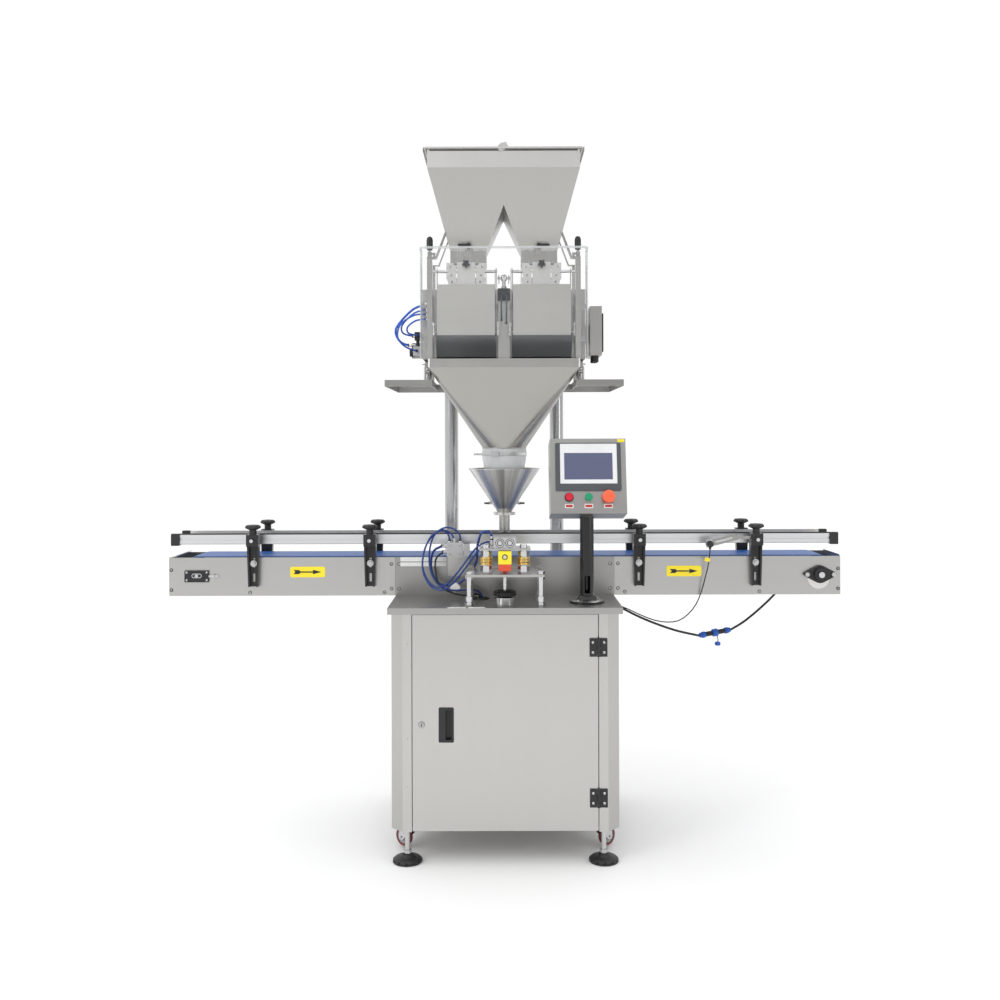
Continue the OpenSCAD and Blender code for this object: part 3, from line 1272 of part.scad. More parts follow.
module pneumatics() {
  y0 = station_front;
  plate = station_top + 80;
  // Twin-rod cylinder on the station, its round end caps to the front
  color(grey) difference() {
    block([-36, 36], [y0 + 30, y0 + 104], [plate, plate + 34]);
    for (x = [-16, 16]) bar_y(x, [y0 + 29, y0 + 31], plate + 17, 29, 40);
  }
  color(bright) {
    for (x = [-16, 16]) {
      bar_y(x, [y0 + 28.5, y0 + 31], plate + 17, 25, 40);
      bar_y(x, [y0 + 104, y0 + 116], plate + 17, 10);
    }
    block([-34, 34], [y0 + 116, y0 + 124], [plate + 6, plate + 31]);
    bar_z(-42, y0 + 52, [plate + 8, plate + 34], 10);
    bar_x([-44, -36], y0 + 52, plate + 14, 9);
  }
  // Yellow valve block with its red lower half
  color(yellow) block([-21, 21], [y0 + 14, y0 + 58], [station_top + 31, station_top + 72]);
  color([0.85, 0.30, 0.20]) {
    block([-20, 20], [y0 + 15, y0 + 57], [station_top + 9, station_top + 31]);
    bar_z(0, y0 + 34, [station_top, station_top + 9], 12);
  }
  // Valve block on its bracket at the conveyor's front
  color(steel) {
    block([-192, -120], [front_y - 4, front_y], [table_h + 66, side_top + 4]);
    block([-192, -120], [front_y - 44, front_y], [side_top + 4, side_top + 8]);
  }
  color(grey) {
    block([-194, -140], [front_y - 42, front_y - 4], [side_top + 8, side_top + 52]);
    block([-138, -118], [front_y - 40, front_y - 6], [side_top + 8, side_top + 46]);
  }
  color(bright) {
    for (x = [-184, -150], z = [side_top + 16, side_top + 44]) front_screw(x, front_y - 42, z, 8);
    bar_z(-168, front_y - 22, [side_top + 52, side_top + 66], 14);
    bar_x([-206, -194], front_y - 24, side_top + 40, 11);
    bar_x([-202, -194], front_y - 24, side_top + 20, 9);
  }
  // Regulator at the head's left side, with its black knob
  color(steel) block([-housing_x - 40, -housing_x], [60, 64], [housing_low + 6, housing_low + 60]);
  color(grey) block([-housing_x - 34, -housing_x - 8], [30, 60], [housing_low + 14, housing_low + 46]);
  color(black) {
    bar_x([-housing_x - 46, -housing_x - 34], 45, housing_low + 26, 30, 24);
    block([-housing_x - 28, -housing_x - 8], [26, 60], [housing_low + 68, housing_low + 96]);
    bar_z(-housing_x - 18, 45, [housing_low + 46, housing_low + 68], 12);
    block([-housing_x - 8, -housing_x], [40, 60], [housing_low + 74, housing_low + 90]);
  }
  // Flap actuator between the buckets
  color(dark_steel) {
    block([-21, 21], [-56, -40], [bucket_top - 50, bucket_top - 8]);
    bar_z(0, -48, [bucket_top - 8, bucket_top + 20], 12);
  }
  // Grommet in the table
  color(black) translate([-78, -150, table_h]) rotate_extrude($fn = 32)
    polygon([[10, -8], [21, -8], [21, 0], [27, 0], [26, 4], [10, 4]]);
  // Fittings at the head's left
  color(bright) {
    bar_x([-housing_x - 44, -housing_x - 8], 52, housing_low + 52, 9);
    bar_x([-hanger_x - 22, -hanger_x - 18], -50, housing_low + 180, 12);
  }
}

module handwheel() {
  color(black) translate([0, handwheel_y, table_h + 16 + seat_gap]) difference() {
    rotate_extrude($fn = 48) polygon([[6, 0], [14, 0], [14, 8], [24, 8], [24, 4], [35, 4], [37, 8],
      [37, 16], [33, 20], [24, 20], [22, 14], [14, 14], [14, 22], [6, 22]]);
    for (a = [0:36:324]) rotate([0, 0, a]) translate([39.5, 0, -1]) cylinder(h = 30, d = 9, $fn = 16);
    cylinder(h = 80, r = 6 + running_fit, center = true, $fn = 32);
  }
}
handwheel_y = -222;

module photo_sensor() {
  y = front_y - 30;
  // Slotted arm with the sensor at its end
  color(steel) translate([sensor_x, y, sensor_z]) rotate([0, -14, 0]) difference() {
    block([-12, 98], [0, 3], [-11, 11]);
    block([20, 80], [-1, 4], [-3.5, 3.5]);
  }
  color(steel) block([bracket_out_x - 75, bracket_out_x - bracket_w / 2], [y + 3, y + 9],
    [sensor_z + 15, sensor_z + 25]);
  color(black) {
    translate([sensor_x, y, sensor_z]) rotate([90, 0, 0]) cylinder(h = 16, d = 22, $fn = 32);
    bar_y(sensor_x, [y + 3, y + 22], sensor_z, 16);
    bar_z(sensor_x, y - 9, [sensor_z - 18, sensor_z - 8], 8);
  }
}
sensor_x = 690;
sensor_z = side_top + 46;

module display_unit() {
  x0 = housing_x + 10;
  color(steel) {
    for (y = [40, 85]) block([housing_x, x0 + 2], [y, y + 20], [housing_low + 60, housing_low + 120]);
    difference() {
      block([x0, x0 + 40], [-60, 110], [housing_low + 6, housing_low + 174]);
      block([x0 + sheet_t, x0 + 40 - sheet_t], [-60 + sheet_t, 110 - sheet_t],
        [housing_low + 8, housing_low + 172]);
    }
  }
  color(black) {
    block([x0 + 40, x0 + 46], [-50, 100], [housing_low + 20, housing_low + 150]);
    for (y = [-20, 30]) bar_z(x0 + 20, y, [housing_low - 14, housing_low + 6], 24, 24);
  }
}

// Middle lines of the free cables and hoses
motor_route_a = [[372, 40, 772], [418, 42, 746], [476, 49, 716], [542, 58, 688], [614, 69, 663],
  [688, 82, 645]];
motor_route_b = [[806, 104, 662], [852, 115, 686], [904, 130, 722], [955, 147, 762], [997, 176, 796],
  [1009, 190, 818]];
sensor_route = [[690, -113, 971], [686, -112, 930], [674, -104, 870], [650, -72, 780], [600, -12, 714],
  [520, 12, 712], [430, 16, 750], [372, 16, 772]];
head_hose = [[-266, -50, 1802], [-312, -32, 1790], [-376, 14, 1728], [-362, 46, 1684], [-328, 52, 1674]];
station_hose = [[-206, -98, 983], [-240, -107, 966], [-246, -121, 908], [-218, -132, 860],
  [-160, -137, 860], [-118, -141, 894], [-94, -158, 938], [-90, -220, 988], [-76, -264, 1040],
  [-50, -270, 1045], [-42, -270, 1029]];
drain_cable = [[-202, -98, 963], [-232, -116, 938], [-216, -150, 856], [-140, -150, 824],
  [-90, -150, 829], [-78, -150, 806], [-78, -150, 790]];
// The same line with a point added half way along each span
function smooth(p) = [for (i = [0:len(p) - 1], k = i < len(p) - 1 ? [0, 1] : [0])
  k == 0 ? p[i] : (9 * (p[i] + p[i + 1]) - p[max(i - 1, 0)] - p[min(i + 2, len(p) - 1)]) / 16];

// A tube swept along a smoothed route
function unit(v) = v / norm(v);
// Both ends point along an axis, as their glands and fittings do
function snap(v) = let (m = max([for (c = v) abs(c)])) [for (c = v) abs(c) == m ? sign(c) : 0];
function tangent(p, i) = let (v = p[min(i + 1, len(p) - 1)] - p[max(i - 1, 0)])
  i == 0 || i == len(p) - 1 ? snap(v) : unit(v);
function ring(p, i, r, n) = let (t = tangent(p, i),
  u = unit(cross(t, abs(t[1]) < 0.9 ? [0, 1, 0] : [1, 0, 0])), v = cross(t, u))
  [for (k = [0:n - 1]) p[i] + r * (cos(k * 360 / n) * u + sin(k * 360 / n) * v)];
module cord(route, d, n = 8) {
  p = smooth(route);
  last = len(p) - 1;
  polyhedron(points = [for (i = [0:last]) each ring(p, i, d / 2, n)], faces = concat(
    [[for (k = [0:n - 1]) k]], [[for (k = [0:n - 1]) last * n + n - 1 - k]],
    [for (i = [0:last - 1], k = [0:n - 1]) let (m = (k + 1) % n)
      [i * n + k, (i + 1) * n + k, (i + 1) * n + m, i * n + m]]));
}
module motor_cable() {
  color(black) {
    cord(motor_route_a, 8);
    cord(motor_route_b, 8);
  }
  // Plug, socket and hanging cap
  a = motor_route_a[len(motor_route_a) - 1];
  b = motor_route_b[0];
  run = b - a;
  translate(a) rotate([0, 90 - asin(run[2] / norm(run)), atan2(run[1], run[0])]) {
    color(blue) {
      cylinder(h = 24, d1 = 18, d2 = 22, $fn = 24);
      translate([0, 0, norm(run) - 24]) cylinder(h = 24, d1 = 22, d2 = 18, $fn = 24);
      translate([0, 0, norm(run) / 2 - 10]) cylinder(h = 20, d = 27, $fn = 24);
    }
    color(black) cylinder(h = norm(run), d = 17, $fn = 24);
  }
  color(blue) translate([757, 94, 608]) cylinder(h = 12, d = 20, $fn = 24);
  color(black) translate([757, 94, 620]) cylinder(h = 27, d = 3, $fn = 24);
  // Glands in the cabinet's side
  color(black) {
    bar_x([side_x, 372], 40, 772, 15, 24);
    bar_x([side_x, 372], 16, 772, 12, 24);
  }
}
module sensor_cable() { color(black) cord(sensor_route, 4); }
module air_hoses() {
  color(blue) {
    cord(head_hose, 8);
    cord(station_hose, 8);
  }
  color(black) cord(drain_cable, 6);
}

cabinet();
cabinet_hinges();
door();
door_fittings();
door_lock();
table_top();
electrics();
at_caster(false, false) caster_fork();  // caster_fork_fl
at_caster(true, false) caster_fork();  // caster_fork_fr
at_caster(false, true) caster_fork();  // caster_fork_rl
at_caster(true, true) caster_fork();  // caster_fork_rr
at_caster(false, false) caster_wheel();  // caster_wheel_fl
at_caster(true, false) caster_wheel();  // caster_wheel_fr
at_caster(false, true) caster_wheel();  // caster_wheel_rl
at_caster(true, true) caster_wheel();  // caster_wheel_rr
foot(-foot_x, -foot_y);  // foot_fl
foot(foot_x, -foot_y);  // foot_fr
foot(-foot_x, foot_y);  // foot_rl
foot(foot_x, foot_y);  // foot_rr
conveyor_frame();
conveyor_belt();
drive_roller();
tail_roller();
shaft_bearings();
gear_motor();
guide_rail_front();
guide_rail_rear();
rail_brackets();
clamp_knobs();
columns();
shelf();
weigher_body();
mirror([1, 0, 0]) feeder_pan();  // feeder_pan_left
feeder_pan();  // feeder_pan_right
weigh_buckets();
mirror([1, 0, 0]) bucket_flap();  // bucket_flap_left
bucket_flap();  // bucket_flap_right
feed_hopper();
mirror([1, 0, 0]) hopper_gate();  // hopper_gate_left
hopper_gate();  // hopper_gate_right
collecting_funnel();
outlet_sleeve();
filling_funnel();
splash_guard();
mirror([1, 0, 0]) clamp_lever();  // clamp_lever_left
clamp_lever();  // clamp_lever_right
control_post();
control_box();
operator_panel();
start_button();
stop_button();
emergency_stop();
station_stand();
pneumatics();
handwheel();
photo_sensor();
display_unit();
motor_cable();
sensor_cable();
air_hoses();
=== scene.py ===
# %% [markdown]
# # A linear weigher over its bottle conveyor
# The machine is a stainless frame: a split hopper feeds two vibrating pans, two weigh buckets drop their
# portions down a funnel, and a belt carries the bottles past. The solids come from the CAD model, already
# in place and in metres, so this script only dresses them: it gives each surface its finish and adds the
# small things that a solid model has no room for.

# %% Load the CAD model
import math

import bmesh
import bpy
from mathutils import Euler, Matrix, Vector


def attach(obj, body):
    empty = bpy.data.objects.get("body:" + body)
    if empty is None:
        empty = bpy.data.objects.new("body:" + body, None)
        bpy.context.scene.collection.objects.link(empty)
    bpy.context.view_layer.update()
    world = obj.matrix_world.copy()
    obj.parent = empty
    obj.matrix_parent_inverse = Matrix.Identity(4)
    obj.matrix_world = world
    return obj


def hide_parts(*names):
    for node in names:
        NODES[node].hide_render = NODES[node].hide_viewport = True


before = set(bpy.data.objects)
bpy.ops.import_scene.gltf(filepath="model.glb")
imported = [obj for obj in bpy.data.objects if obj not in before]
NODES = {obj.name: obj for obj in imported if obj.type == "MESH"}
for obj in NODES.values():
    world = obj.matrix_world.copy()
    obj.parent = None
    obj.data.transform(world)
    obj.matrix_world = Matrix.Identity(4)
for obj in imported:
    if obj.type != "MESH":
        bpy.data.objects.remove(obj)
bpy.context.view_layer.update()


def put_in_scene(name, data):
    obj = bpy.data.objects.new(name, data)
    bpy.context.scene.collection.objects.link(obj)
    return obj


# %% [markdown]
# ## The camera
# The photograph was taken from about 3.6 metres away, dead ahead and a little above the conveyor's rails.
# A level camera keeps the columns upright, and a small vertical shift frames the machine as the picture
# does. The tiny roll is the picture's own.

# %% Camera
CAMERA_PLACE, CAMERA_ROLL = (-0.0113, -3.650, 1.340), math.radians(0.16)
camera_data = bpy.data.cameras.new("camera")
camera_data.lens, camera_data.sensor_width = 37.9, 36
camera_data.shift_x, camera_data.shift_y = -0.001, -0.060
camera = put_in_scene("camera", camera_data)
camera.location = CAMERA_PLACE
camera.rotation_euler = (math.radians(90), CAMERA_ROLL, 0)
bpy.context.scene.camera = camera
print("camera:", camera_data.lens, "mm lens,", round(camera.location.z, 2), "m above the floor")

# %% [markdown]
# ## Cables and hoses
# A cable is a curve with a round section. The route is the one that the CAD solids follow, given by a few
# points, and a smoothing step adds points between them so that no bend looks broken. Each cable starts and
# ends in a gland or fitting that stays with the solids.

# %% Routes of the cables: diameter and points, in millimetres
ROUTES = {
    "motor_cable_near": (8, [(372, 40, 772), (418, 42, 746), (476, 49, 716), (542, 58, 688), (614, 69, 663),
        (688, 82, 645)]),
    "motor_cable_far": (8, [(806, 104, 662), (852, 115, 686), (904, 130, 722), (955, 147, 762),
        (997, 176, 796), (1009, 190, 818)]),
    "sensor_lead": (4, [(690, -113, 971), (686, -112, 930), (674, -104, 870), (650, -72, 780),
        (600, -12, 714), (520, 12, 712), (430, 16, 750), (372, 16, 772)]),
    "head_hose": (8, [(-266, -50, 1802), (-312, -32, 1790), (-376, 14, 1728), (-362, 46, 1684),
        (-328, 52, 1674)]),
    "station_hose": (8, [(-206, -98, 983), (-240, -107, 966), (-246, -121, 908), (-218, -132, 860),
        (-160, -137, 860), (-118, -141, 894), (-94, -158, 938), (-90, -220, 988), (-76, -264, 1040),
        (-50, -270, 1045), (-42, -270, 1029)]),
    "drain_lead": (6, [(-202, -98, 963), (-232, -116, 938), (-216, -150, 856), (-140, -150, 824),
        (-90, -150, 829), (-78, -150, 806), (-78, -150, 790)]),
    "head_hose_outer": (6, [(-262, -50, 1770), (-304, -66, 1766), (-352, -70, 1734), (-363, -56, 1692),
        (-344, -33, 1665), (-318, -8, 1653), (-306, 12, 1652), (-305, 30, 1652)]),
    "head_hose_middle": (6, [(-262, -50, 1786), (-306, -44, 1776), (-352, -10, 1738), (-350, 24, 1712),
        (-312, 34, 1704)]),
    "head_hose_inner": (6, [(-262, -50, 1754), (-300, -60, 1748), (-330, -52, 1726), (-328, -24, 1708),
        (-302, -2, 1704), (-300, 26, 1704)]),
    "station_hose_back": (6, [(-186, -97, 995), (-187, -98, 1012), (-196, -103, 1030), (-216, -112, 1036),
        (-238, -122, 1018), (-251, -132, 970), (-248, -144, 912), (-224, -152, 864), (-182, -151, 842),
        (-140, -147, 841), (-108, -147, 842), (-90, -148, 838), (-77, -149.5, 825), (-72, -150, 808),
        (-71.5, -150, 790)]),
    "station_hose_front": (6, [(-36, -250, 1011), (-60, -249, 1010), (-94, -244, 990), (-128, -230, 944),
        (-166, -210, 894), (-208, -188, 856), (-250, -168, 870), (-274, -150, 926), (-262, -130, 990),
        (-230, -114, 1030), (-196, -104, 1046), (-164, -98, 1036), (-151, -97, 1016), (-150, -97, 995)]),
    "station_hose_middle": (6, [(-36, -258, 1003), (-58, -257, 1002), (-88, -251, 980), (-120, -238, 936),
        (-158, -218, 886), (-200, -196, 849), (-244, -176, 858), (-272, -158, 908), (-268, -142, 970),
        (-246, -124, 1018), (-216, -109, 1037), (-190, -100, 1032), (-174, -97, 1014), (-168, -97, 995)]),
    "actuator_hose_left": (4, [(-8, -56, 1838), (-8, -74, 1835), (-9, -87, 1812), (-9, -84, 1780),
        (-8, -66, 1757), (-8, -40, 1752)]),
    "actuator_hose_right": (4, [(8, -56, 1832), (8, -72, 1829), (9, -84, 1808), (9, -82, 1774),
        (8, -64, 1746), (8, -40, 1740)]),
}


# %% Smooth the routes and make the tubes
def smooth_route(points, rounds=2):
    """Puts a point half way along each span, on the curve that the neighbours suggest."""
    pts = [Vector(p) / 1000 for p in points]
    for _ in range(rounds):
        out = []
        last = len(pts) - 1
        for i, p in enumerate(pts[:-1]):
            out += [p, (9 * (p + pts[i + 1]) - pts[max(i - 1, 0)] - pts[min(i + 2, last)]) / 16]
        pts = out + [pts[-1]]
    return pts


def length_of(line):
    return sum((b - a).length for a, b in zip(line, line[1:]))


def tube(name, points, diameter):
    data = bpy.data.curves.new(name, "CURVE")
    data.dimensions = "3D"
    data.bevel_depth = diameter / 2
    data.bevel_resolution = 5
    data.use_fill_caps = True
    spline = data.splines.new("POLY")
    spline.points.add(len(points) - 1)
    for point, place in zip(spline.points, points):
        point.co = (*place, 1)
    return put_in_scene(name, data)


cords = {}
for name, (width, points) in ROUTES.items():
    line = smooth_route(points)
    cords[name] = (tube(name, line, width / 1000), line, width / 1000)
    print(name, round(length_of(line), 3), "m")

# %% [markdown]
# ## A small language for finishes
# A material is a sum: colour plus stains, roughness plus wear. Writing it as Python arithmetic is far
# shorter than placing nodes by hand, so one small class wraps a socket, and each operator adds the Math
# node that does the sum. A second class adds any other node, and a third starts a material with it.

# %% The socket class
class Val:
    """A shader socket that can be added, multiplied and compared like a number."""

    def __init__(self, tree, socket):
        self.tree, self.socket = tree, socket

    def maths(self, kind, other, back=False):
        pair = [other, self] if back else [self, other]
        node = self.tree.nodes.new("ShaderNodeMath")
        node.operation = kind
        for slot, item in zip(node.inputs, pair):
            if isinstance(item, Val):
                self.tree.links.new(item.socket, slot)
            else:
                slot.default_value = item
        return Val(self.tree, node.outputs[0])

    def __add__(self, o): return self.maths("ADD", o)
    def __radd__(self, o): return self.maths("ADD", o, True)
    def __sub__(self, o): return self.maths("SUBTRACT", o)
    def __rsub__(self, o): return self.maths("SUBTRACT", o, True)
    def __mul__(self, o): return self.maths("MULTIPLY", o)
    def __rmul__(self, o): return self.maths("MULTIPLY", o, True)
    def __gt__(self, o): return self.maths("GREATER_THAN", o)


# %% The node class
class Nodes:
    """A shader tree under construction: one method adds any node, its settings first, then its sockets."""

    def __init__(self, tree):
        self.tree = tree

    def node(self, kind, settings, inputs, output=0):
        made = self.tree.nodes.new(kind)
        for key, value in settings.items():
            if key == "stops":
                for stop, (where, colour) in zip(made.color_ramp.elements, value):
                    stop.position, stop.color = where, (*colour, 1)
            else:
                setattr(made, key, value)
        for key, value in inputs.items():
            if isinstance(value, Val):
                self.tree.links.new(value.socket, made.inputs[key])
            else:
                made.inputs[key].default_value = value
        return Val(self.tree, made.outputs[output])


# %% The finish class
class Finish(Nodes):
    """A material under construction, with short names for the nodes that most finishes need."""

    def __init__(self, name):
        self.material = bpy.data.materials.new(name)
        self.material.use_nodes = True
        super().__init__(self.material.node_tree)
        self.shader = self.tree.nodes["Principled BSDF"]
        self.at = self.node("ShaderNodeTexCoord", {}, {}, "Object")

    def stretched(self, scale):
        return self.node("ShaderNodeMapping", {}, {"Vector": self.at, "Scale": scale})

    def noise(self, scale, detail=3.0, rough=0.55, where=None):
        return self.node("ShaderNodeTexNoise", {}, {
            "Vector": where or self.at, "Scale": scale, "Detail": detail, "Roughness": rough}, "Fac")

    def between(self, factor, low, high):
        """The colour low where factor is 0, high where it is 1."""
        return self.node("ShaderNodeMix", {"data_type": "RGBA"}, {0: factor, 6: (*low, 1), 7: (*high, 1)}, 2)

    def part(self, axis):
        return self.node("ShaderNodeSeparateXYZ", {}, {0: self.at}, "XYZ".index(axis))

    def set(self, **values):
        for key, value in values.items():
            socket = self.shader.inputs[key.replace("_", " ")]
            if isinstance(value, Val):
                self.tree.links.new(value.socket, socket)
            else:
                socket.default_value = value
        return self

    def bump(self, height, strength, distance):
        made = self.node("ShaderNodeBump", {}, {"Height": height, "Strength": strength, "Distance": distance})
        return self.set(Normal=made)


def times(tone, factor):
    """A tone made darker or lighter; no channel passes 1."""
    return tuple(min(c * factor, 1) for c in tone)


# %% [markdown]
# ## Stainless sheet
# Most of the machine is brushed stainless sheet. The rolling mill and the belt sander leave hair-thin
# lines along one direction, which spread the highlights across them. The lines are a noise stretched a
# hundred times along the grain; a second one gives wider bands, and a third the faint clouds that handled
# sheet has. Where the clouds are turned up, they also paint a sheen: broad lighter and darker patches
# that stand for reflections.

# %% Brushed stainless steel
def brushed(name, tone, grain, rough=(0.26, 0.40), cloud_and_sheen=0.05, relief=0.05):
    """grain holds the axes that the sander ran along; two of them make a line that climbs a slope."""
    f = Finish(name)
    lines = f.noise(1.0, 3, 0.6, f.stretched([4 if axis in grain else 420 for axis in "XYZ"]))
    bands = f.noise(1.0, 2, 0.5, f.stretched([1.2 if axis in grain else 60 for axis in "XYZ"]))
    clouds_and_sheen = f.noise(2.6, 3, 0.6)
    shade = (lines - 0.5) * 0.10 + (bands - 0.5) * 0.10 + (clouds_and_sheen - 0.5) * (2 * cloud_and_sheen)
    f.set(Base_Color=f.between(shade + 0.5, times(tone, 0.86), times(tone, 1.10)), Metallic=1.0,
          Roughness=(lines - 0.5) * 0.16 + clouds_and_sheen * (rough[1] - rough[0]) + rough[0])
    f.bump(lines, relief, 0.0004)
    return f.material


STAINLESS = (0.56, 0.55, 0.53)
# A larger cloud value also paints a sheen: broad lighter and darker patches that stand for reflections.
sheet_upright = brushed("sheet_upright", STAINLESS, "Z", cloud_and_sheen=0.09)
sheet_level = brushed("sheet_level", (0.50, 0.495, 0.48), "X", cloud_and_sheen=0.13)
sheet_bright = brushed("sheet_bright", (0.70, 0.69, 0.67), "Z", rough=(0.18, 0.30))
sheet_shelf = brushed("sheet_shelf", (0.42, 0.415, 0.40), "X")
# The collecting funnel's slopes are a darker copy of the sheet: painted shade that holds down their
# reflection of the bright floor.
shaded_funnel_front, shaded_funnel_side = (
    brushed("funnel_" + way, (0.40, 0.392, 0.368), grain, rough=(0.28, 0.40), cloud_and_sheen=0.12, relief=0.01)
    for way, grain in (("front", "YZ"), ("side", "XZ")))
shaded_front, shaded_side = (
    brushed("shaded_" + way, (0.475, 0.47, 0.45), grain) for way, grain in (("front", "YZ"), ("side", "XZ")))
# The table's front fold is a darker copy of the level sheet: painted shade on a face turned to the dim front.
table_fold = brushed("table_fold", (0.42, 0.415, 0.405), "X")
sheet_bucket = brushed("sheet_bucket", (0.66, 0.65, 0.62), "X", rough=(0.28, 0.42))
# The bucket flaps are a dark copy of the stainless: painted shade for flaps that hang in shade under the
# buckets.
flap_painted_shade = brushed("flap_painted_shade", (0.13, 0.13, 0.135), "X", rough=(0.30, 0.42))
spun_steel = brushed("spun_steel", (0.49, 0.495, 0.505), "Z", rough=(0.16, 0.26), relief=0.02)
white_steel = brushed("white_steel", (0.89, 0.88, 0.86), "Z", rough=(0.28, 0.40))
shade_steel = brushed("shade_steel", (0.37, 0.366, 0.355), "X")
anodised = brushed("anodised", (0.72, 0.73, 0.74), "X", rough=(0.28, 0.40), relief=0.02)
print("brushed finishes:", len(bpy.data.materials))

# %% [markdown]
# The filling funnel is rolled from one sheet and rubbed down from mouth to spout, so its lines follow the
# angle round its axis, which stands 20 mm behind the machine's middle. The angle's jump lies at the back.

# %% Streaks down a cone
def streaked(name, tone):
    f = Finish(name)
    angle = f.part("X").maths("ARCTAN2", FUNNEL_Y / 1000 - f.part("Y"))
    streaks, fine = (f.node("ShaderNodeTexNoise", {"noise_dimensions": "1D"}, {
        "W": angle * count, "Scale": 1.0, "Detail": 4.0, "Roughness": 0.65}, "Fac") for count in (3.2, 30))
    shade = (streaks - 0.5) * 2.4 + (fine - 0.5) * 0.5 + 0.5
    f.set(Base_Color=f.between(shade, times(tone, 0.55), times(tone, 1.45)), Metallic=1.0,
          Roughness=fine * 0.10 + 0.33)
    return f.material


FUNNEL_Y = 20
cone_steel = streaked("cone_steel", (0.62, 0.61, 0.59))
print("streaked:", cone_steel.name)

# %% [markdown]
# ## Turned, cast and painted metal
# Bright turned steel has almost no texture, only faint tool marks; a casting has fine pits; paint has a
# shallow orange-peel and a coat of gloss over its colour.

# %% Metals without a grain
def turned(name, tone, rough=0.16):
    f = Finish(name)
    marks = f.noise(180, 2)
    f.set(Base_Color=f.between(f.noise(9, 2), times(tone, 0.92), tone), Metallic=1.0,
          Roughness=marks * 0.10 + rough)
    return f.bump(marks, 0.02, 0.0002).material


def cast(name, tone, rough=0.45, metal=1.0):
    f = Finish(name)
    pits = f.noise(260, 4, 0.7)
    f.set(Base_Color=f.between(f.noise(14, 3), times(tone, 0.84), tone), Metallic=metal,
          Roughness=pits * 0.14 + rough)
    return f.bump(pits, 0.18, 0.0006).material


def painted(name, tone, rough=0.22, peel=0.05, dust=0.25, gloss=0.5):
    f = Finish(name)
    dull = f.noise(7, 3)
    grey = tuple(c + (0.30 - c) * 0.18 * dust for c in tone)
    f.set(Base_Color=f.between(dull, tone, grey), Roughness=dull * 0.12 + rough, Coat_Weight=0.7 * gloss,
          Coat_Roughness=0.12, Specular_IOR_Level=gloss)
    return f.bump(f.noise(150, 2), peel, 0.0004).material


polished = turned("polished_steel", (0.66, 0.66, 0.67), 0.14)
screw_steel = turned("screw_steel", (0.58, 0.58, 0.58), 0.22)
lock_steel = turned("lock_steel", (0.44, 0.44, 0.44), 0.26)
brass_bush = turned("brass_bush", (0.72, 0.52, 0.20), 0.2)
cast_alloy = cast("cast_alloy", (0.60, 0.60, 0.61))
motor_grey = cast("motor_grey", (0.42, 0.43, 0.44), 0.4, 0.6)
dark_steel = cast("dark_steel", (0.13, 0.125, 0.12), 0.36, 0.75)
gloss_black = painted("gloss_black", (0.010, 0.010, 0.011), 0.10, 0.02, 0.1, 0.3)
satin_black = painted("satin_black", (0.014, 0.014, 0.016), 0.30, 0.10, 0.2, 0.3)
print("metals and paints:", len(bpy.data.materials))

# %% [markdown]
# ## Plastics, rubber and hoses
# Moulded knobs have a fine spark-eroded grain and go a little paler where hands rub them. The belt is a
# smooth blue sheet with a faint weave under it. Push buttons and hoses have a clear, strong colour and a
# wet gloss.

# %% Plastics
def moulded(name, tone, rough=0.5, grain=0.12, scale=900):
    f = Finish(name)
    rub = f.noise(12, 3)
    paler = tuple(min(c * 1.25 + 0.012, 1) for c in tone)
    f.set(Base_Color=f.between(rub, tone, paler), Roughness=f.noise(30, 3) * 0.16 + rough,
          Specular_IOR_Level=0.45)
    return f.bump(f.noise(scale, 2), grain, 0.0003).material


black_plastic = moulded("black_plastic", (0.010, 0.010, 0.011), 0.40)
soft_black = moulded("soft_black", (0.016, 0.016, 0.017), 0.55, 0.2, 500)
device_grey = moulded("device_grey", (0.30, 0.31, 0.32), 0.45)
pale_plastic = moulded("pale_plastic", (0.62, 0.62, 0.60), 0.42)
panel_grey = moulded("panel_grey", (0.060, 0.066, 0.075), 0.38, 0.06)
bezel_silver = moulded("bezel_silver", (0.66, 0.67, 0.68), 0.34, 0.04)
button_red = moulded("button_red", (0.55, 0.010, 0.030), 0.20, 0.02)
button_green = moulded("button_green", (0.010, 0.26, 0.12), 0.20, 0.02)
button_orange = moulded("button_orange", (0.86, 0.115, 0.045), 0.28, 0.02)
hose_blue = moulded("hose_blue", (0.012, 0.085, 0.46), 0.18, 0.0)
hose_navy = moulded("hose_navy", (0.007, 0.034, 0.18), 0.18, 0.0)
hose_dark = moulded("hose_dark", (0.008, 0.026, 0.06), 0.2, 0.0)
clip_grey = moulded("clip_grey", (0.40, 0.40, 0.39), 0.42)
tag_red = moulded("tag_red", (0.42, 0.035, 0.03), 0.38, 0.03)
plug_blue = moulded("plug_blue", (0.012, 0.09, 0.42), 0.34)
cable_black = moulded("cable_black", (0.012, 0.012, 0.012), 0.46, 0.06)
yellow_plate = moulded("yellow_plate", (0.86, 0.66, 0.02), 0.34, 0.03)
red_block = moulded("red_block", (0.62, 0.07, 0.03), 0.34, 0.03)
white_plate = moulded("white_plate", (0.72, 0.72, 0.71), 0.36, 0.03)
tread_red = moulded("tread_red", (0.14, 0.022, 0.020), 0.5, 0.1)
print("with the plastics:", len(bpy.data.materials))


# %% Belt and rail
def belt_finish():
    f = Finish("belt_blue")
    weave = f.node("ShaderNodeTexChecker", {}, {"Vector": f.stretched((600, 600, 600)), "Scale": 1.0}, "Fac")
    scuff = f.noise(1.0, 3, 0.6, f.stretched((3, 90, 3)))
    f.set(Base_Color=f.between(scuff, (0.012, 0.075, 0.30), (0.03, 0.13, 0.42)), Roughness=scuff * 0.2 + 0.34)
    return f.bump(weave, 0.06, 0.0003).material


belt_blue = belt_finish()


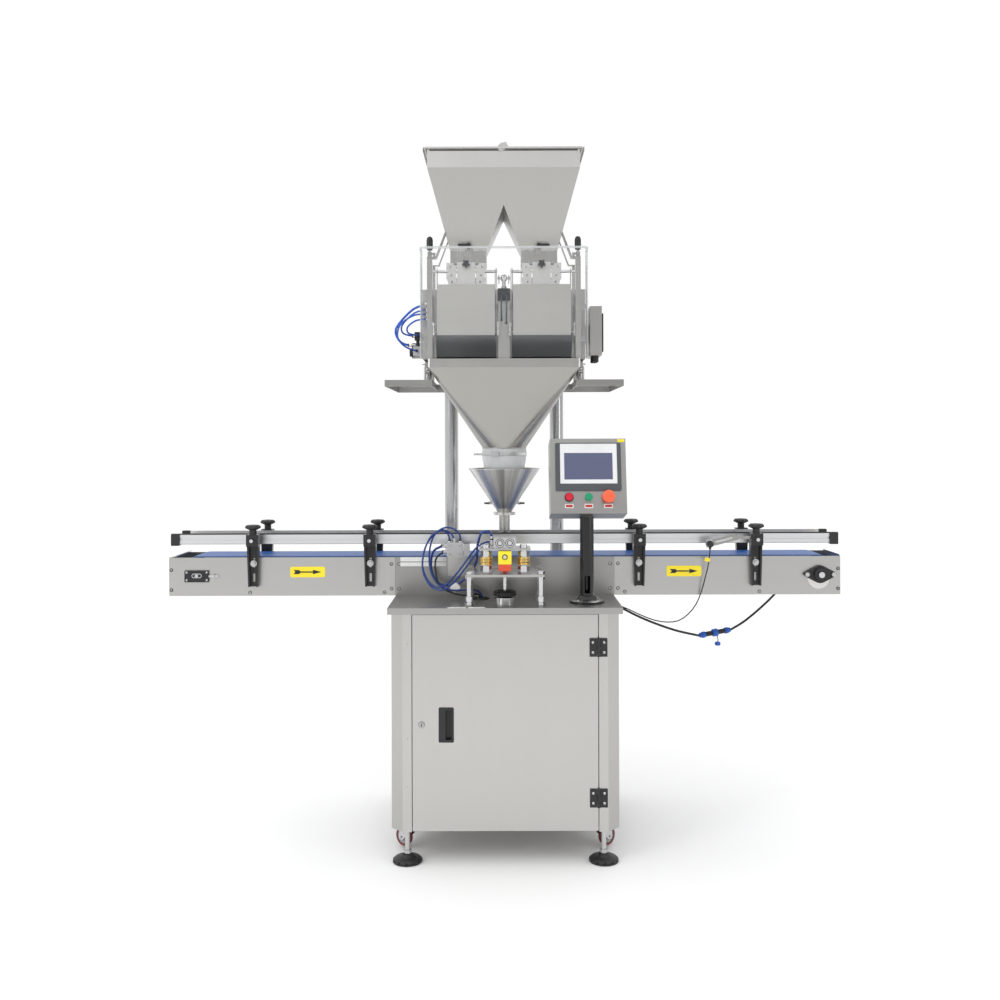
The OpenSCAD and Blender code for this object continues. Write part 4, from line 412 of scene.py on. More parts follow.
def edged_rail():
    """The front rail's face: anodised, with the black lip of the wear strip over its top edge."""
    f = Finish("edged_rail")
    lip = f.part("Z") > LIP_Z
    f.set(Base_Color=f.between(lip, (0.72, 0.73, 0.74), (0.014, 0.014, 0.015)), Metallic=1 - lip,
          Roughness=0.34)
    return f.material


LIP_Z = 1.0185
rail_face = edged_rail()
print("with belt and rail:", len(bpy.data.materials))

# %% [markdown]
# ## Dressing the solids
# One CAD solid can hold several finishes: a bearing is black with bright bolts. Cutting it apart isn't
# needed, because each face can point at its own material. A rule is a finish and a test on the middle of a
# face, in millimetres, and the last rule that fits wins.

# %% Faces choose their finish
dressed = []


def dress(names, base, *rules):
    for name in names.split():
        mesh = NODES[name].data
        palette = list(dict.fromkeys([base] + [rule[0] for rule in rules]))
        mesh.materials.clear()
        for finish in palette:
            mesh.materials.append(finish)
        for face in mesh.polygons:
            x, y, z = face.center * 1000
            pick = base
            for finish, fits in rules:
                if fits(x, y, z):
                    pick = finish
            face.material_index = palette.index(pick)
        dressed.append(name)
    print(names, len(palette), "finishes")


def near(a, b, reach):
    return abs(a - b) < reach


# %% [markdown]
# ## The clear parts
# The splash guard is a bent acrylic sheet and the sleeve is soft film. Glass that bends light costs much
# render time, so the sheet is mostly see-through with a faint gloss. Its sawn edges are milky and bright,
# brighter than the cut alone as a painted highlight, and its side wings take the same pale finish as a
# painted reflection of the light that they catch edge-on.

# %% Acrylic and film
def clear(name, tone, alpha, rough):
    f = Finish(name)
    f.material.surface_render_method = "BLENDED"
    smear = f.noise(5, 4, 0.6)
    f.set(Base_Color=f.between(smear, tone, times(tone, 0.96)), Roughness=smear * 0.08 + rough,
          Alpha=(smear - 0.5) * 0.06 + alpha, IOR=1.49)
    return f.material


acrylic = clear("clear_acrylic", (0.78, 0.82, 0.85), 0.035, 0.02)
# The edge finish is partly the milky cut, partly a painted highlight, and on the side wings a painted
# reflection.
acrylic_edge_and_glare = clear("acrylic_edge_and_glare", (0.66, 0.68, 0.69), 0.55, 0.12)
film = clear("clear_film", (0.84, 0.86, 0.88), 0.42, 0.16)
screen_glass = painted("screen_glass", (0.110, 0.118, 0.205), 0.10, 0.0, 0.0)
print("finishes:", len(bpy.data.materials))

# %% [markdown]
# ## Cabinet, table and feet
# The cabinet is bent from sheet with its grain upright; the table's grain runs along the front, as the
# sheet was cut from a long strip.

# %% Dress the base
FACE_Y = -338
CASTER_X, CASTER_Y, CASTER_TRAIL, WHEEL_Z, TREAD_R = 318, 196, 21, 38, 21.9
dress("cabinet", sheet_upright, (shaded_front, lambda x, y, z: 325 < abs(x) < 361 and y < -301 and z > 120))
dress("door", sheet_upright)
# The table's front fold gets the darker finish: painted shade.
dress("table_top", sheet_level, (table_fold, lambda x, y, z: y < -349.4 and z < 812.9))
dress("cabinet_hinges door_fittings", satin_black,
      (screw_steel, lambda x, y, z: y < -342.02 and (near(x, 276.1, 5) or near(x, 310.9, 5))))
dress("door_lock", lock_steel)
dress("electrics", device_grey, (sheet_bright, lambda x, y, z: y > 317.5),
      (satin_black, lambda x, y, z: z > 465 and x < -20 and y < 308))
for corner, (sx, sy) in {"fl": (-1, -1), "fr": (1, -1), "rl": (-1, 1), "rr": (1, 1)}.items():
    turn = math.radians((45 if sx > 0 else 135) * (-1 if sy > 0 else 1))
    cx, cy = sx * CASTER_X + CASTER_TRAIL * math.cos(turn), sy * CASTER_Y + CASTER_TRAIL * math.sin(turn)
    dress("caster_fork_" + corner, polished)
    dress("caster_wheel_" + corner, device_grey, (tread_red, lambda x, y, z: math.hypot(
        (x - cx) * math.cos(turn) + (y - cy) * math.sin(turn), z - WHEEL_Z) > TREAD_R))
    dress("foot_" + corner, black_plastic, (screw_steel, lambda x, y, z: z > 26.2))

# %% [markdown]
# ## Conveyor
# Side plates and screws are stainless, the bearings are cast iron painted black, and the rails are
# anodised aluminium. The front rail carries a black wear strip, whose lip lies over its top edge; the rear
# one's is bright.

# %% Dress the conveyor
FRONT_Y, REAR_Y, AXLE_Z, DRIVE_X, TAIL_X = -74, 114, 882, 1069, -1045
BRACKET_XS, CLAMP_SCREW_Z, RAIL_END = (455, 850), 924, 1128.1


def off_axle(x, z, axle_x):
    return math.hypot(x - axle_x, z - AXLE_Z)


# The middle plate's front gets the darker shade_steel: painted shade.
dress("conveyor_frame", sheet_level, (shade_steel, lambda x, y, z: abs(x) < 371.6 and y < FRONT_Y + 4),
      (screw_steel, lambda x, y, z: y < FRONT_Y - 0.05),
      (sheet_shelf, lambda x, y, z: FRONT_Y + 4 < y < REAR_Y - 4))
dress("conveyor_belt", belt_blue)
dress("drive_roller", soft_black, (polished, lambda x, y, z: off_axle(x, z, DRIVE_X) < 11))
dress("tail_roller", soft_black, (polished, lambda x, y, z: off_axle(x, z, TAIL_X) < 11))
dress("shaft_bearings", satin_black,
      (screw_steel, lambda x, y, z: x > 0 and near(abs(x - DRIVE_X), 45, 8.5) and y < FRONT_Y - 10.1),
      (screw_steel, lambda x, y, z: x < 0 and (y < FRONT_Y - 5.05 or y > REAR_Y + 5.05) and near(
          abs(x - TAIL_X), 34, 5)),
      (screw_steel, lambda x, y, z: TAIL_X + 41.6 < x < 0))
dress("gear_motor", cast_alloy, (motor_grey, lambda x, y, z: x < DRIVE_X - 42.1),
      (black_plastic, lambda x, y, z: z < AXLE_Z - 41 and x < DRIVE_X - 42.1))
dress("guide_rail_front", rail_face, (soft_black, lambda x, y, z: y > -40.02 or abs(x) > RAIL_END),
      (polished, lambda x, y, z: y < -50.1))
dress("guide_rail_rear", anodised, (white_steel, lambda x, y, z: y < 80.02),
      (soft_black, lambda x, y, z: abs(x) > RAIL_END), (polished, lambda x, y, z: y > 90.1))
dress("rail_brackets", satin_black, (screw_steel, lambda x, y, z: (y < -82.9 or y > 122.9) and min(
    math.hypot(abs(x) - bx, z - CLAMP_SCREW_Z) for bx in BRACKET_XS) < 11.2))
dress("clamp_knobs", black_plastic)

# %% [markdown]
# ## Tower and weigher head
# The hopper and the collecting funnel are folded from sheet whose grain runs down each slope, so a second
# helper gives the front and side slopes their own finish: darker copies of the sheet, a painted shade on
# the slopes. The buckets' grain lies level, and the small funnel is rolled.

# %% Dress the tower
HOUSING_TOP, PAN_Z, HOPPER_BAND, FUNNEL_BAND = 1866, 1894, 2260.1, 1584.5
SHAFT_Y, SHAFT_Z = -53, 1916
dress("columns", spun_steel)
dress("shelf", sheet_shelf, (screw_steel, lambda x, y, z: z > 1545.1 and abs(x) > 258.4))
dress("weigher_body", sheet_bright,
      (polished, lambda x, y, z: near(y, SHAFT_Y, 5.1) and near(z, SHAFT_Z, 5.1) and 20 < abs(x) < 246),
      (white_steel, lambda x, y, z: -65 < y < -52.9 and z > 1868 and 60 < abs(x) < 204),
      (dark_steel, lambda x, y, z: z > HOUSING_TOP + 0.1 and y > 40 and abs(x) < 160))
dress("feeder_pan_left feeder_pan_right", sheet_bright, (dark_steel, lambda x, y, z: z < PAN_Z - 0.05))
dress("weigh_buckets", sheet_bucket, (polished, lambda x, y, z: min(
    near(abs(x), 28.5, 2.6) or near(abs(x), 229.5, 3.6), z > 1838)))
# The flaps' dark finish is painted shade.
dress("bucket_flap_left bucket_flap_right", flap_painted_shade)
dress("feed_hopper", sheet_upright, (white_steel, lambda x, y, z: z > HOPPER_BAND and y < -99),
      (polished, lambda x, y, z: near(z, 1976, 3.2) and near(y, SHAFT_Y, 9.2) and near(abs(x), 253, 3.1)),
      (sheet_bright, lambda x, y, z: -36 < y < -27.9 and z < 1990.1))
dress("hopper_gate_left hopper_gate_right", sheet_bright, (black_plastic, lambda x, y, z: y < -44.05))
dress("collecting_funnel", sheet_upright)


def slope_grain(name, front, side, top):
    """Below top the walls slope, and their grain runs down them: seen from the front, or from the side."""
    mesh = NODES[name].data
    first = len(mesh.materials)
    mesh.materials.append(front)
    mesh.materials.append(side)
    for face in mesh.polygons:
        if face.center.z * 1000 < top and mesh.materials[face.material_index] == sheet_upright:
            face.material_index = first + (abs(face.normal.x) > abs(face.normal.y))


# The slopes of the hopper and of the funnel take darker copies of the sheet: painted shade.
slope_grain("feed_hopper", shaded_front, shaded_side, HOPPER_BAND)
slope_grain("collecting_funnel", shaded_funnel_front, shaded_funnel_side, FUNNEL_BAND)
dress("outlet_sleeve", film, (polished, lambda x, y, z: math.hypot(x, y - FUNNEL_Y) > 77.7 or abs(x) > 78.2))
dress("filling_funnel", cone_steel,
      (shaded_front, lambda x, y, z: math.hypot(x, y - FUNNEL_Y) < 22 and z < 1085),
      (dark_steel, lambda x, y, z: near(z, 1119, 4) and 52 < abs(x) < 95 and y < 40),
      (sheet_level, lambda x, y, z: y > 60))
# The side wings beyond 277.9 mm take the edge finish: a painted reflection of the light they catch edge-on.
dress("splash_guard", acrylic,
      (acrylic_edge_and_glare, lambda x, y, z: z > 1983.9 or z < 1617.1 or abs(x) > 277.9),
      (polished, lambda x, y, z: abs(x) < 278.1 and y > -80))
dress("clamp_lever_left clamp_lever_right", polished, (black_plastic, lambda x, y, z: z > 1988.9))

# %% [markdown]
# ## Controls and station
# The control post is glossy stove enamel. The box is stainless; the panel frame, its bright bezel and its
# screen are told apart by how deep they lie in the leaning box, so the test first turns the point into the
# box's frame.

# %% Dress the controls
TILT, POST_X, POST_Y, BOX_FRONT, BOX_Z = math.radians(12), 266, -235, -327, 1107


def in_box(x, y, z):
    """A point in the control box's own frame: across, into the box, and up its face, in millimetres."""
    dy, dz = y - BOX_FRONT, z - BOX_Z
    return x - POST_X, dy * math.cos(TILT) - dz * math.sin(TILT), dy * math.sin(TILT) + dz * math.cos(TILT)


def out_of_box(a, b, c):
    """The other way: from the box's frame to the machine's, in metres."""
    return Vector((POST_X + a, BOX_FRONT + b * math.cos(TILT) + c * math.sin(TILT),
                   BOX_Z - b * math.sin(TILT) + c * math.cos(TILT))) / 1000


def panel_part(x, y, z):
    a, b, c = in_box(x, y, z)
    if near(b, -6, 0.2) and abs(a + 0.5) < 76.6 and 107.9 < c < 194.2:
        return "screen"
    return "bezel" if -6.6 < b < -5.3 and -89.6 < a < 91.6 and 94.9 < c < 224.2 else "frame"


dress("control_post", gloss_black, (screw_steel, lambda x, y, z: z > 820.1 and 37 < math.hypot(
    x - POST_X, y - POST_Y) < 54))
dress("control_box", sheet_level, (polished, lambda x, y, z: in_box(x, y, z)[1] < -0.05),
      (satin_black, lambda x, y, z: in_box(x, y, z)[1] < -0.05 and x < 230),
      (satin_black, lambda x, y, z: 2.1 < in_box(x, y, z)[1] < 42.1 and near(in_box(x, y, z)[2], 52, 14.1)))
dress("operator_panel", panel_grey, (bezel_silver, lambda x, y, z: panel_part(x, y, z) == "bezel"),
      (screen_glass, lambda x, y, z: panel_part(x, y, z) == "screen"))
dress("stop_button", button_red)
dress("start_button", button_green)
dress("emergency_stop", button_orange)

# %% Dress the station, the sensor and the display
dress("handwheel", black_plastic)
dress("photo_sensor", black_plastic, (shade_steel, lambda x, y, z: -104.05 < y < -94.9 and (
    x > 702 or abs(x - 690) < 12.5 and y < -100.9)))
dress("display_unit", sheet_upright, (black_plastic, lambda x, y, z: x > 334.05 or z < 1627.9))
dress("station_stand", polished,
      (sheet_level, lambda x, y, z: 905.9 < z < 914.1 or 987.9 < z < 994.1 or y > -195),
      (brass_bush, lambda x, y, z: near(abs(x), 60, 18.2) and near(y, -276, 18.2) and (
          941.9 < z < 948.1 or 949.9 < z < 966.1)))
dress("pneumatics", cast_alloy,
      (yellow_plate, lambda x, y, z: abs(x) < 21.1 and -308.1 < y < -263.9 and 944.9 < z < 986.1),
      (red_block, lambda x, y, z: abs(x) < 20.1 and -308.1 < y < -263.9 and z < 944.9 and z > 913),
      (sheet_level, lambda x, y, z: -192.1 < x < -119.9 and -118.1 < y and z < 951.05 and z > 870),
      (polished, lambda x, y, z: abs(x) < 48 and (y < -292.05 or y > -217.95) and z > 993.9 and z < 1030),
      (screw_steel, lambda x, y, z: x < -117 and -120 < y < -80 and (x < -194.05 or y < -116.1 or z > 995.05)
       and z > 952 and z < 1020),
      (sheet_upright, lambda x, y, z: y > 59.95 and z > 1620),
      (black_plastic, lambda x, y, z: z > 1620 and x < -284 and (x < -318.05 or z > 1668.05) and z < 1730),
      (satin_black, lambda x, y, z: abs(x) < 22 and 1810 < z < 1858.1),
      (satin_black, lambda x, y, z: near(y, -291, 0.3) and abs(x) < 32 and z > 994),
      (soft_black, lambda x, y, z: math.hypot(x + 78, y + 150) < 27.5 and z < 820),
      (polished, lambda x, y, z: x < -262 and (z > 1790 or near(z, 1674, 4.6) and near(y, 52, 4.6))))
print("dressed:", len(dressed), "of", len(NODES))
print("bare:", sorted(set(NODES) - set(dressed)))

# %% [markdown]
# ## Shapes from a profile
# Nearly every fitting on the machine is turned: a plug, a gland, a push-in ring. One helper spins a
# profile of radius and height pairs about a line and closes both ends. Polygons with six sides make
# hexagons. A second helper raises a flat outline, for plates and brackets, and a third joins such shapes
# to one piece.

# %% Close a mesh and give it its finish
def finish_mesh(name, bm, finish, smooth=30):
    """Turns bmesh data into a piece: closed, facing out, with its finish and smooth where it is round."""
    bmesh.ops.remove_doubles(bm, verts=bm.verts, dist=1e-6)
    bmesh.ops.recalc_face_normals(bm, faces=bm.faces)
    mesh = bpy.data.meshes.new(name)
    bm.to_mesh(mesh)
    bm.free()
    mesh.shade_smooth()
    mesh.set_sharp_from_angle(angle=math.radians(smooth))
    mesh.materials.append(finish)
    return put_in_scene(name, mesh)


# %% Turned shapes
def spun(bm, start, way, profile, sides):
    """Spins (radius, height) pairs about the line from start along way and closes the ends; all in metres."""
    way = Vector(way).normalized()
    across = way.orthogonal().normalized()
    other = way.cross(across)
    rings = []
    for radius, height in [(0, profile[0][1]), *profile, (0, profile[-1][1])]:
        middle = Vector(start) + way * height
        angles = [math.tau * i / sides for i in range(sides if radius else 1)]
        rings.append([bm.verts.new(middle + radius * (math.cos(a) * across + math.sin(a) * other))
                      for a in angles])
    for low, high in zip(rings, rings[1:]):
        for i in range(sides):
            j = i + 1
            corners = [low[i % len(low)], low[j % len(low)], high[j % len(high)], high[i % len(high)]]
            bm.faces.new(list(dict.fromkeys(corners)))


# %% Flat shapes
def raised(bm, outline, low, high, place):
    """Raises a flat outline of (u, v) points from low to high; place turns (u, v, w) into a point."""
    rings = [[bm.verts.new(place(u, v, w)) for u, v in outline] for w in (low, high)]
    bm.faces.new(rings[0])
    bm.faces.new(rings[1])
    for i in range(len(outline)):
        j = (i + 1) % len(outline)
        bm.faces.new([rings[0][i], rings[0][j], rings[1][j], rings[1][i]])


def round_plate(width, height, radius, middle=(0, 0)):
    """The outline of a plate with rounded corners."""
    out = []
    for quarter, (sx, sy) in enumerate([(1, 1), (-1, 1), (-1, -1), (1, -1)]):
        for step in range(6):
            a = math.radians(90 * quarter + 18 * step)
            out.append((middle[0] + sx * (width / 2 - radius) + radius * math.cos(a),
                        middle[1] + sy * (height / 2 - radius) + radius * math.sin(a)))
    return out


# %% Join the shapes to one piece
def piece_of(name, finish, turned=(), flat=(), body="frame", smooth=30):
    """Joins turned shapes (start, way, profile, sides) and flat ones (outline, low, high, place)."""
    bm = bmesh.new()
    for shape in turned:
        spun(bm, *shape)
    for shape in flat:
        raised(bm, *shape)
    piece = finish_mesh(name, bm, finish, smooth)
    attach(piece, body)
    print(name, len(piece.data.polygons), "faces")
    return piece


RIGHT, LEFT, FORWARD, UP, DOWN = (1, 0, 0), (-1, 0, 0), (0, -1, 0), (0, 0, 1), (0, 0, -1)

# %% [markdown]
# ## Ends of the cables
# The motor cable runs in two halves that meet in a round plug and socket, with a blue nut at each end and
# a blue coupling ring in the middle. A dust cap hangs from the ring on a short string. At the cabinet each
# cable goes through a gland: a hexagon, and a nut that tapers to the cable.

# %% Plug and socket in the motor cable
plug_start, plug_end = Vector((0.688, 0.082, 0.645)), Vector((0.806, 0.104, 0.662))
plug_way = (plug_end - plug_start).normalized()
plug_length = (plug_end - plug_start).length
print("plug and socket:", round(plug_length, 3), "m long")

GRIP = [(0.0074, 0), (0.0085, 0.003), (0.0085, 0.034), (0.0078, 0.035), (0.0078, 0.052), (0.0085, 0.053),
        (0.0085, 0.085), (0.0074, 0.088)]
NUT = [(0.0055, 0.001), (0.0086, 0.004), (0.0092, 0.010), (0.0110, 0.012), (0.0110, 0.0225), (0.0104, 0.024)]
RING = [(0.0118, 0), (0.0135, 0.0015), (0.0135, 0.0185), (0.0118, 0.020)]
CAP = [(0.0085, 0), (0.010, 0.0015), (0.010, 0.0105), (0.0085, 0.012), (0.003, 0.012), (0.002, 0.0135)]
connector_body = piece_of("connector_body", cable_black, [
    (plug_start + plug_way * 0.016, plug_way, GRIP, 32)])
connector_nuts = piece_of("connector_nuts", plug_blue, [
    (plug_start, plug_way, NUT, 20), (plug_end, -plug_way, NUT, 20)], smooth=25)
coupling_ring = piece_of("coupling_ring", plug_blue, [
    (plug_start + plug_way * (plug_length / 2 - 0.010), plug_way, RING, 18)], smooth=15)
dust_cap = piece_of("dust_cap", plug_blue, [((0.757, 0.094, 0.608), UP, CAP, 18)], smooth=15)
string_route = [(757, 94, 620), (758.5, 94, 628), (756, 94, 637), (757, 94, 646)]
cap_string = tube("cap_string", smooth_route(string_route), 0.003)
cap_string.data.materials.append(cable_black)
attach(cap_string, "frame")

# %% Glands where the cables enter the cabinet
cable_glands = piece_of("cable_glands", black_plastic, [
    ((x, y, 0.772), RIGHT, profile, sides)
    for y, nut, dome, neck in ((0.040, 0.0075, 0.0072, 0.0052), (0.016, 0.0060, 0.0057, 0.0036))
    for x, profile, sides in ((0.362, [(nut, 0), (nut, 0.004)], 6),
                              (0.366, [(dome, 0), (dome, 0.003), (neck, 0.006)], 24))])

# %% [markdown]
# ## Colours of the cables
# Each cable takes the colour of its kind and joins the frame. The CAD solids that the tubes, the plug and
# the glands stand for are hidden, and kept. A piece that replaces a CAD solid says so, and the solid is
# then hidden and kept for collisions. The thinner hoses of a bundle have no solid of their own.

COLOURS = {"head": hose_blue, "station": hose_navy, "actuator": hose_dark}
with_plug = [connector_body, connector_nuts, coupling_ring, dust_cap, cap_string]
for name, (obj, line, width) in cords.items():
    obj.data.materials.append(COLOURS.get(name.split("_")[0], cable_black))
    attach(obj, "frame")
    to_plug = name == "motor_cable_near"
    length_of(line)
    "limp" if name == "sensor_lead" else "medium"
for piece in [cords["motor_cable_near"][0], cords["motor_cable_far"][0], cable_glands] + with_plug:
    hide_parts("motor_cable")
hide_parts("sensor_cable")
for name in ("head_hose", "station_hose", "drain_lead"):
    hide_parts("air_hoses")
print("cords:", len(cords))

# %% [markdown]
# ## Many small things from one rule
# Bolt heads, coils and louvres repeat, so each kind is a Geometry Nodes tree: points go in, a shape is put
# on each point, and the copies are made real at the end. The sizes are named inputs, so one tree serves
# bolts of any size. The result is turned into a plain mesh before it joins the machine.

# %% The tree class
class Growth:
    """A Geometry Nodes tree under construction; it always ends in Realize Instances and Set Material."""

    def __init__(self, name, **sizes):
        self.tree = bpy.data.node_groups.new(name, "GeometryNodeTree")
        sockets = self.tree.interface
        sockets.new_socket("Places", in_out="INPUT", socket_type="NodeSocketGeometry")
        for label, value in sizes.items():
            kind = "NodeSocketInt" if isinstance(value, int) else "NodeSocketFloat"
            sockets.new_socket(label, in_out="INPUT", socket_type=kind).default_value = value
        sockets.new_socket("Finish", in_out="INPUT", socket_type="NodeSocketMaterial")
        sockets.new_socket("Pieces", in_out="OUTPUT", socket_type="NodeSocketGeometry")
        self.start = self.tree.nodes.new("NodeGroupInput")
        self.labels = ["Places", "Finish", *sizes]

    def node(self, kind, inputs, output=0, **settings):
        made = self.tree.nodes.new("GeometryNode" + kind if not kind.startswith("Function") else kind)
        for key, value in settings.items():
            setattr(made, key, value)
        for key, value in inputs.items():
            if isinstance(value, str) and value in self.labels:
                value = self.start.outputs[value]
            if isinstance(value, bpy.types.NodeSocket):
                self.tree.links.new(value, made.inputs[key])
            else:
                made.inputs[key].default_value = value
        return made.outputs[output]

    def close(self, shape):
        """Puts shape on each place, turned along the place's way, and makes the copies real."""
        way = self.node("InputNamedAttribute", {"Name": "way"}, 0, data_type="FLOAT_VECTOR")
        turn = self.node("FunctionNodeAlignRotationToVector", {"Vector": way}, 0, axis="Z")
        copies = self.node("InstanceOnPoints", {"Points": "Places", "Instance": shape, "Rotation": turn})
        real = self.node("RealizeInstances", {"Geometry": copies})
        done = self.node("SetMaterial", {"Geometry": real, "Material": "Finish"})
        self.tree.links.new(done, self.tree.nodes.new("NodeGroupOutput").inputs[0])
        return self.tree


# %% Grow a tree on its places
def grow(name, tree, finish, places, **sizes):
    """places are (point in millimetres, way that its shape faces)."""
    mesh = bpy.data.meshes.new(name)
    mesh.from_pydata([Vector(p) / 1000 for p, _ in places], [], [])
    ways = mesh.attributes.new("way", "FLOAT_VECTOR", "POINT")
    ways.data.foreach_set("vector", [c for _, way in places for c in way])
    obj = put_in_scene(name, mesh)
    modifier = obj.modifiers.new("grow", "NODES")
    modifier.node_group = tree
    for item in tree.interface.items_tree:
        if item.in_out == "INPUT" and item.name in sizes:
            modifier[item.identifier] = sizes[item.name]
        if item.name == "Finish":
            modifier[item.identifier] = finish
    graph = bpy.context.evaluated_depsgraph_get()
    result = bpy.data.meshes.new_from_object(obj.evaluated_get(graph))
    obj.modifiers.clear()
    obj.data = result
    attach(obj, "frame")
    print(name, len(places), "places,", len(result.polygons), "faces")


# %% The bolt head: a frustum with a socket sunk in its top
bolt = Growth("bolt_heads", Sides=6, Radius=0.007, Top=0.0066, Height=0.005, Socket=0.5, Sink=-0.002)
head_node = bolt.tree.nodes.new("GeometryNodeMeshCone")
head_node.fill_type = "NGON"
for socket, label in (("Vertices", "Sides"), ("Radius Bottom", "Radius"), ("Radius Top", "Top"),
                      ("Depth", "Height")):
    bolt.tree.links.new(bolt.start.outputs[label], head_node.inputs[socket])
inset_node = bolt.tree.nodes.new("GeometryNodeExtrudeMesh")
inset_node.inputs["Offset Scale"].default_value = 0
bolt.tree.links.new(head_node.outputs["Mesh"], inset_node.inputs["Mesh"])
bolt.tree.links.new(head_node.outputs["Top"], inset_node.inputs["Selection"])
top_face = inset_node.outputs["Top"]
shrunk = bolt.node("ScaleElements", {"Geometry": inset_node.outputs["Mesh"], "Selection": top_face,
                                     "Scale": "Socket"})
sunk = bolt.node("ExtrudeMesh", {"Mesh": shrunk, "Selection": top_face, "Offset Scale": "Sink"})
bolt_tree = bolt.close(sunk)
print("bolt tree:", len(bolt_tree.nodes), "nodes")

# %% [markdown]
# Where are the bolts? At the flanges of the columns, under the caster plates, round the cover at the back,
# at the flaps' pivots, on the ear plates and down the cabinet's left pillar. Each list gives points on the
# surface, in millimetres, and the way each head faces; the sizes are in metres.

# %% Bolts and screws
def bolts(name, finish, places, sides, radius, top, height, socket, sink):
    grow(name, bolt_tree, finish, places, Sides=sides, Radius=radius, Top=top, Height=height, Socket=socket,
         Sink=sink)


def spoke(radius, angle):
    return radius * math.cos(math.radians(angle)), radius * math.sin(math.radians(angle))


BACKWARD, BOTH = (0, 1, 0), (-1, 1)
COLUMN_X, COLUMN_Y = 194, 245
flange = [spoke(37, angle) for angle in (45, 135, 225, 315)]
bolts("column_bolts", screw_steel,
      [((s * COLUMN_X + u, COLUMN_Y + v, z), way)
       for s in BOTH for u, v in flange for z, way in ((823, UP), (1530, DOWN))],
      sides=6, radius=0.007, top=0.0066, height=0.005, socket=0.5, sink=-0.002)
bolts("caster_plate_bolts", screw_steel,
      [((s * CASTER_X + u, t * CASTER_Y + v, 104), DOWN)
       for s in BOTH for t in BOTH for u in (-23, 23) for v in (-23, 23)],
      sides=6, radius=0.0055, top=0.0052, height=0.0035, socket=0.3, sink=-0.0005)
bolts("rear_cover_screws", screw_steel,
      [((x, 320, z), BACKWARD) for x in (-244, -82, 82, 244) for z in (1762, 1836)],
      sides=20, radius=0.005, top=0.0032, height=0.003, socket=0.55, sink=-0.0012)
bolts("pivot_nuts", polished,
      [((s * x, -90, 1705), (s * way, 0, 0)) for s in BOTH for x, way in ((233, 1), (24, -1))],
      sides=6, radius=0.0062, top=0.0062, height=0.005, socket=0.45, sink=0.003)
bolts("ear_plate_bolts", screw_steel,
      [((s * (128.5 + e * (46 + h * 0.12)), -62, HOUSING_TOP + h), FORWARD)
       for s in BOTH for e in BOTH for h in (14, 36, 64)],
      sides=18, radius=0.0042, top=0.0030, height=0.0028, socket=0.5, sink=-0.001)
bolts("pillar_rivets", screw_steel, [((-309, FACE_Y, z), FORWARD) for z in (690, 700, 400, 250)],
      sides=16, radius=0.0021, top=0.0012, height=0.0010, socket=0.6, sink=0.0002)

# %% [markdown]
# ## Coils on the spring posts
# The two posts of the filling station carry brass springs. A coil is a spiral curve with a round wire
# swept along it, so the tree needs only a radius, a height, a number of turns and the wire.

# %% Brass coils
coil = Growth("coils", Radius=0.0186, Height=0.024, Turns=5.0, Wire=0.0019)
line = coil.node("CurveSpiral", {"Resolution": 24, "Rotations": "Turns", "Start Radius": "Radius",
                                 "End Radius": "Radius", "Height": "Height"})
section = coil.node("CurvePrimitiveCircle", {"Resolution": 10, "Radius": "Wire"})
coil_tree = coil.close(coil.node("CurveToMesh", {"Curve": line, "Profile Curve": section, "Fill Caps": True}))
grow("station_coils", coil_tree, brass_bush, [((x, -276, 941), UP) for x in (-60, 60)])

# %% [markdown]
# ## Louvres
# Slots in the backs of the cabinet and of the weigher housing let warm air out. Over each slot the sheet
# is pushed out into a small hood that keeps water away: a flap that leans out from the wall.

# %% Hoods over the slots
hood = Growth("hoods", Width=0.124, Depth=0.013, Sheet=0.0012)
size = hood.tree.nodes.new("ShaderNodeCombineXYZ")
for axis, label in (("X", "Width"), ("Y", "Depth"), ("Z", "Sheet")):
    hood.tree.links.new(hood.start.outputs[label], size.inputs[axis])
flap = hood.node("MeshCube", {"Size": size.outputs[0]})
lean = hood.node("Transform", {"Geometry": flap, "Translation": (0, 0.0044, 0.0042),
                               "Rotation": (math.radians(-52), 0, 0)})
hood_tree = hood.close(lean)
grow("cabinet_louvres", hood_tree, sheet_upright,
     [((s * 150, 342, 563 + 22 * row), UP) for s in BOTH for row in range(6)])
grow("housing_louvres", hood_tree, sheet_upright,
     [((s * 120, 318, 1664.5 + 20 * row), UP) for s in BOTH for row in range(4)], Width=0.104, Depth=0.011)

# %% [markdown]
# ## Direction plates on the conveyor
# Two yellow plates show which way the bottles run. The arrow is a flat outline with a head and a feathered
# tail, raised a little over the plate, as a printed film is.

# %% Arrow plates
def on_front(y):
    """Places (u, v, w) on a wall that faces the operator: u to the right, v up, w out of the wall."""
    return lambda u, v, w: Vector((u, y - w, v)) / 1000


def on_table(u, v, w):
    return Vector((u, v, TABLE_TOP + w)) / 1000


def on_box(u, v, w):
    return out_of_box(u, -w, v)


def plate(name, middle, width, height, place, finish, thick, radius):
    piece_of(name, finish, flat=[(round_plate(width, height, radius, middle), 0, thick, place)])


TABLE_TOP = 813
ARROW = [(-48, -7), (-30, -7), (-24, -2.2), (18, -2.2), (18, -7.5), (47, 0), (18, 7.5), (18, 2.2), (-24, 2.2),
         (-30, 7), (-48, 7), (-42, 0)]
on_conveyor = on_front(FRONT_Y)
for name, x, z in (("left", -669, 893.5), ("right", 609, 893.5)):
    plate("direction_plate_" + name, (x, z), 118, 36, on_conveyor, yellow_plate, 0.8, 6)
    piece_of("direction_arrow_" + name, satin_black, flat=[
        ([(x + u, z + v) for u, v in ARROW], 0.8, 1.1, on_conveyor)])

